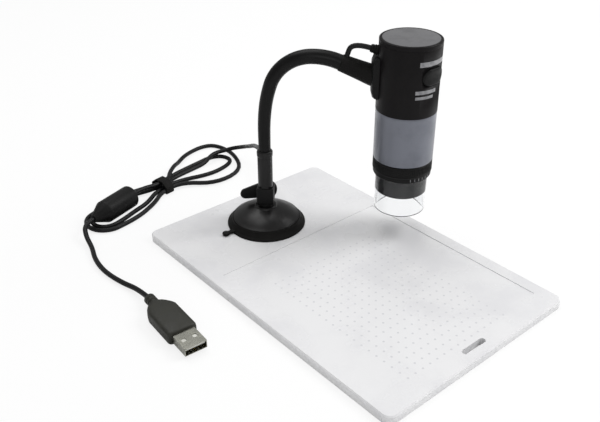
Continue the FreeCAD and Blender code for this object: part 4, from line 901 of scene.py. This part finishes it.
# Clear nose: a polished clear tube that keeps the specimen at the right distance. Behind it a
# black cup holds eight lamps round the lens.
clear_plastic = finish_of("clear_plastic", "#f6f7f8", "#f2f3f4", 0.02, 0.05, patch=0.02, grain=0.004,
                          depth=0.000002, Transmission_Weight=1.0, IOR=1.45)
nose = lathe([
    (12.72, 0, 0.3), (14.6, 0, 0.4), (14.6, ring_low, 0.1), (14.0, ring_low, 0), (14.0, ring_low + 2.4, 0),
    (15.2, ring_low + 2.5, 0.1), (15.2, ring_low + 3.5, 0.1), (13.0, ring_low + 3.5, 0.1),
    (13.0, ring_low + 0.3, 0), (12.72, ring_low, 0),
], 0.3, closed=True, around=160)
nose_hood = piece_from("nose_hood", nose, scope, clear_plastic)
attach(nose_hood, "head")
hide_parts("clear_nose")
holder_low = ring_low - 11.3
smoke_black = finish_of("smoke_black", "#2c2c2d", "#3a3a3b", 0.4, 0.55, patch=0.006, Specular_IOR_Level=0.3)
cup = lathe([
    (8.05, holder_low, 0.2), (12.75, holder_low, 0.3), (12.75, ring_low, 0), (11.95, ring_low, 0),
    (11.95, holder_low + 2.0, 0), (8.85, holder_low + 2.0, 0), (8.85, ring_low, 0), (8.05, ring_low, 0),
], 0.2, closed=True)
lamp_cup = piece_from("lamp_cup", cup, scope, smoke_black)
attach(lamp_cup, "head")
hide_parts("lamp_holder")
lamp_epoxy = finish_of("lamp_epoxy", "#f4f3ea", "#eceadf", 0.05, 0.12, patch=0.003, Coat_Weight=0.5,
                       Transmission_Weight=0.4)
bulb = lathe([
    (0, holder_low - 0.4), (0.7, holder_low - 0.25), (1.2, holder_low + 0.15), (1.4, holder_low + 0.9),
    (1.4, holder_low + 4.6, 0.1), (0, holder_low + 4.6, 0),
], 0.4, around=24)
lamp_set = ring_of_copies("lamp_set", placed("bulb", mesh_of("bulb", bulb)), 8, 10.4, 0, pi / 8, 2 * pi,
                          lamp_epoxy)
lamps = piece_from("lamp_bulbs", lamp_set, scope, lamp_epoxy)
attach(lamps, "head")
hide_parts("lamps")

# Lens barrel and lenses: a turned black barrel with two coated glass elements. It slides in the
# lamp cup's middle on a pin that the focus ring drives.
barrel_low = holder_low + 2.5
barrel_black = finish_of("barrel_black", "#101011", "#19191a", 0.4, 0.55, grain=0.0002, depth=0.00001)
dress("lens_carriage", barrel_black)
coated_glass = finish_of("coated_glass", "#e9eff2", "#e2eaf0", 0.01, 0.03, patch=0.004, depth=0.0000005,
                         Transmission_Weight=1.0, IOR=1.5, Coat_Weight=0.6)


def lens_profile(level, radius=6.35, curve=14.0, half=1.7, steps=12):
    """A lens with two bulging faces of one curve, by its radius and half its thickness."""
    rise = [radius * k / steps for k in range(steps + 1)]
    sag = [curve - sqrt(curve ** 2 - r ** 2) for r in rise]
    under = [Vector((r, level - half + s)) for r, s in zip(rise, sag)]
    above = [Vector((r, level + half - s)) for r, s in zip(reversed(rise), reversed(sag))]
    return under + above


for name, level in (("objective_lens", barrel_low + 3), ("rear_lens", barrel_low + 10)):
    glass = piece_from(f"{name}_glass", turned(lens_profile(level), closed=False, around=64), scope,
                       coated_glass)
    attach(glass, "carriage")
    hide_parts(name)

# Circuit boards inside the shells: green glass-fibre boards with a black sensor chip, a white
# connector and red insulated wires from the cord.
solder_mask = finish_of("solder_mask", "#12401f", "#1a4d28", 0.25, 0.4, patch=0.003, grain=0.0003)
chip_epoxy = finish_of("chip_epoxy", "#101010", "#1c1c1c", 0.35, 0.5, patch=0.002)
wire_jacket = finish_of("wire_jacket", "#8c1c18", "#7a1613", 0.35, 0.5, patch=0.002)
for node in ("lamp_board", "sensor_board", "main_board"):
    dress(node, solder_mask)
dress("image_sensor", chip_epoxy)
dress("button_switch", chip_epoxy)
dress("board_connector", white_nylon)
dress("signal_wires", wire_jacket)

# Cord gland and head loop: a short rubber boot on the housing guides the cord into a small arch
# that dives into the sleeve.
gland_tilt, gland_level = radians(15), housing_low + 32.1
gland_place = scope @ Matrix.Translation((-body_radius, 0, gland_level)) @ Matrix.Rotation(
    -(pi / 2 - gland_tilt), 4, "Y")
gland = lathe([
    (0, -3.4, 0), (2.9, -3.4, 0.1), (2.9, -2.5, 0.1), (2.3, -2.5, 0), (2.3, -0.1, 0), (2.7, -0.1, 0.1),
    (2.75, 0.7, 0.2), (2.4, 1.1, 0.2), (2.55, 1.9, 0.2), (2.2, 2.3, 0.2), (2.3, 3.1, 0.2), (1.95, 4.2, 0.2),
    (0, 4.2, 0),
], 0.2, around=48)
gland_boot = piece_from("gland_boot", gland, gland_place, soft_rubber)
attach(gland_boot, "head")
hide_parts("cord_gland")
gland_way = Vector((-cos(gland_tilt), 0, sin(gland_tilt)))
mouth = Vector((scope_x - body_radius, 0, nose_z + gland_level)) + gland_way * 4.2
port_turn = radians(252)
port_way = Vector((cos(port_turn), 0, sin(port_turn)))
dive = last + way * 3.2
port = dive - port_way * (3.95 / sin(way.angle(port_way)))
spread = gland_way.x * port_way.z - gland_way.z * port_way.x
gap = port - mouth
bend_point = mouth + gland_way * ((gap.x * port_way.z - gap.z * port_way.x) / spread)
arch_curve = cord_curve("head_arch", [arm @ p for p in (mouth, bend_point, port, port + port_way * 1.5)],
                        cord_radius)
arch_mesh = settled(arch_curve)
bpy.data.objects.remove(arch_curve)
head_arch = placed("head_arch", arch_mesh)
arch_mesh.shade_smooth()
dress(head_arch, cord_jacket)
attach(head_arch, "head")
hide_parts("cord_head_loop")

# Hank tie: a flat black rubber-coated band, closed round the five strands at the waist.
across = hank @ Matrix(((0, 0, 1, 0), (1, 0, 0, 0), (0, 1, 0, 0), (0, 0, 0, 1)))
half, crown_half, foot_z, shoulder_z, roof_z = 6.65, 2.65, 0.85, 4.15, 7.15
outside = eased([(-half - 0.8, foot_z - 0.8), (half + 0.8, foot_z - 0.8), (half + 0.8, shoulder_z + 0.32),
                 (crown_half + 0.4, roof_z + 0.8), (-crown_half - 0.4, roof_z + 0.8),
                 (-half - 0.8, shoulder_z + 0.32)], 0.9, steps=6)
inside = eased([(-half, foot_z), (half, foot_z), (half, shoulder_z), (crown_half, roof_z),
                (-crown_half, roof_z), (-half, shoulder_z)], 0.5, steps=6)
band = bmesh.new()
layers = []
for outline, stations in ((outside, (-3.0, -2.8, 2.8, 3.0)), (inside, (3.0, 2.8, -2.8, -3.0))):
    for station in stations:
        shrink = 0.12 if abs(station) > 2.9 else 0.0
        centre = Vector((0, 3.9))
        sign = -1 if outline is outside else 1
        moved = [p + (p - centre).normalized() * shrink * sign for p in outline]
        layers.append([band.verts.new((*p, station)) for p in moved])
join_rings(band, [*layers, layers[0]], capped=False)
tie_band = piece_from("tie_band", band, across, soft_rubber)
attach(tie_band, "base")
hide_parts("hank_tie")

# Choke: a black cover moulded over a ferrite bead, blunt towards the hank and drawn out to the
# cord at its other end.
choke_place = hank @ Matrix.Translation(choke_spot) @ choke_way.to_track_quat("Z", "Y").to_matrix().to_4x4()
cover = lathe([
    (1.45, 0, 0.2), (7.0, 0, 1.4), (7.0, 23.5, 1.8), (5.6, 26.2, 1.0), (2.3, 33.0, 0.4), (1.45, 33.0, 0.1),
], 0.5, closed=True)
choke_shell = piece_from("choke_shell", cover, choke_place, nylon)
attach(choke_shell, "base")
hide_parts("choke_cover")
ferrite = finish_of("ferrite", "#2a2a2b", "#1f1f20", 0.55, 0.7)
dress("ferrite_bead", ferrite)

# Plug: a black PVC grip moulded on the cord, with a stepped neck and shallow grip ribs, round a
# folded and plated steel shell with a white tongue and four gold contacts.
plug_place = Matrix.Translation(plug_back) @ Matrix.Rotation(plug_heading, 4, "Z")


def grip_section(x, half_width, half_height, power, around=40):
    """A rounded oblong across the plug."""
    points = []
    for k in range(around):
        a = 2 * pi * k / around
        c, s = cos(a), sin(a)
        points.append((x, half_width * copysign(abs(c) ** (2 / power), c),
                       half_height * copysign(abs(s) ** (2 / power), s)))
    return points


sections = [(0.0, 2.6, 2.6, 2), (0.4, 3.0, 3.0, 2), (2.2, 3.0, 3.0, 2), (2.4, 2.7, 2.7, 2),
            (3.2, 2.7, 2.7, 2), (3.4, 3.0, 3.0, 2), (4.6, 3.0, 3.0, 2), (4.8, 2.7, 2.7, 2),
            (5.6, 2.7, 2.7, 2), (5.8, 3.0, 3.0, 2), (7.0, 3.4, 3.0, 2.2), (8.0, 5.0, 3.1, 2.8),
            (10.0, 6.2, 3.4, 3.4), (12.5, 7.3, 3.8, 4.2), (15.0, 8.0, 4.0, 5), (34.6, 8.0, 4.0, 5),
            (35.6, 7.7, 3.75, 5), (36.0, 7.2, 3.3, 5)]
grip_mesh = bmesh.new()
hoops = [[grip_mesh.verts.new(p) for p in grip_section(*section)] for section in sections]
join_rings(grip_mesh, hoops)
plug_pvc = finish_of("plug_pvc", "#22221c", "#2b2b25", 0.5, 0.66, patch=0.006, grain=0.0004, depth=0.00003,
                     Specular_IOR_Level=0.35)
plug_grip = piece_from("plug_grip", grip_mesh, plug_place, plug_pvc, angle=50)
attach(plug_grip, "base")
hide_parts("plug_overmold")
dress("plug_shell", plated_steel)
dress("plug_tongue", white_nylon)
gold = finish_of("gold", "#d8b45a", "#c9a34c", 0.2, 0.35, patch=0.001, Metallic=1.0)
dress("plug_contacts", gold)
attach(usb_cord, "base")

# Studio: a white sweep under soft light from the right and above. The floor shows white to the
# camera and through clear parts, and keeps the shadow of what stands on it.
floor_reach, floor_level = 6, -0.0002
floor_mesh = bpy.data.meshes.new("floor")
floor_mesh.from_pydata([(x * floor_reach, y * floor_reach, floor_level)
                        for x, y in ((-1, -1), (1, -1), (1, 1), (-1, 1))], [], [(0, 1, 2, 3)])
floor = placed("floor", floor_mesh)
paper = bpy.data.materials.new("paper")
paper.use_nodes = True
tree = paper.node_tree
matt = tree.nodes["Principled BSDF"]
set_inputs(matt, Base_Color=(0.85, 0.85, 0.85, 1), Roughness=0.9, Specular_IOR_Level=0)
glow = tree.nodes.new("ShaderNodeEmission")
set_inputs(glow, Strength=1.0)
seen = tree.nodes.new("ShaderNodeLightPath").outputs
straight = math_step(tree, "MAXIMUM", seen["Is Camera Ray"], seen["Is Transmission Ray"])
mix_shaders(tree, math_step(tree, "MULTIPLY", straight, 0.8), matt, glow, "Material Output")
floor_mesh.materials.append(paper)

world = bpy.data.worlds.new("studio")
bpy.context.scene.world = world
world.use_nodes = True
tree = world.node_tree
sky = tree.nodes["Background"]
set_inputs(sky, Color=(1, 1, 1, 1), Strength=0.42)
white = tree.nodes.new("ShaderNodeBackground")
set_inputs(white, Strength=1.0)
seen = tree.nodes.new("ShaderNodeLightPath").outputs
mix_shaders(tree, seen["Is Camera Ray"], sky, white, "World Output")



def soft_light(name, where, target, size, power):
    """A square soft box that faces a point."""
    data = bpy.data.lights.new(name, "AREA")
    data.shape = "SQUARE"
    data.size = size
    data.energy = power
    lamp = placed(name, data)
    lamp.location = where
    lamp.rotation_euler = (Vector(target) - Vector(where)).to_track_quat("-Z", "Y").to_euler()


soft_light("key_light", (0.75, -0.45, 0.85), (0, 0.03, 0.03), 0.6, 9.0)
soft_light("fill_light", (-0.7, -0.8, 0.6), (0, 0.05, 0.03), 0.5, 2.0)
soft_light("top_light", (0.1, 0.5, 1.2), (0, 0.05, 0), 0.9, 7.0)
bpy.context.scene.view_settings.view_transform = "Standard"
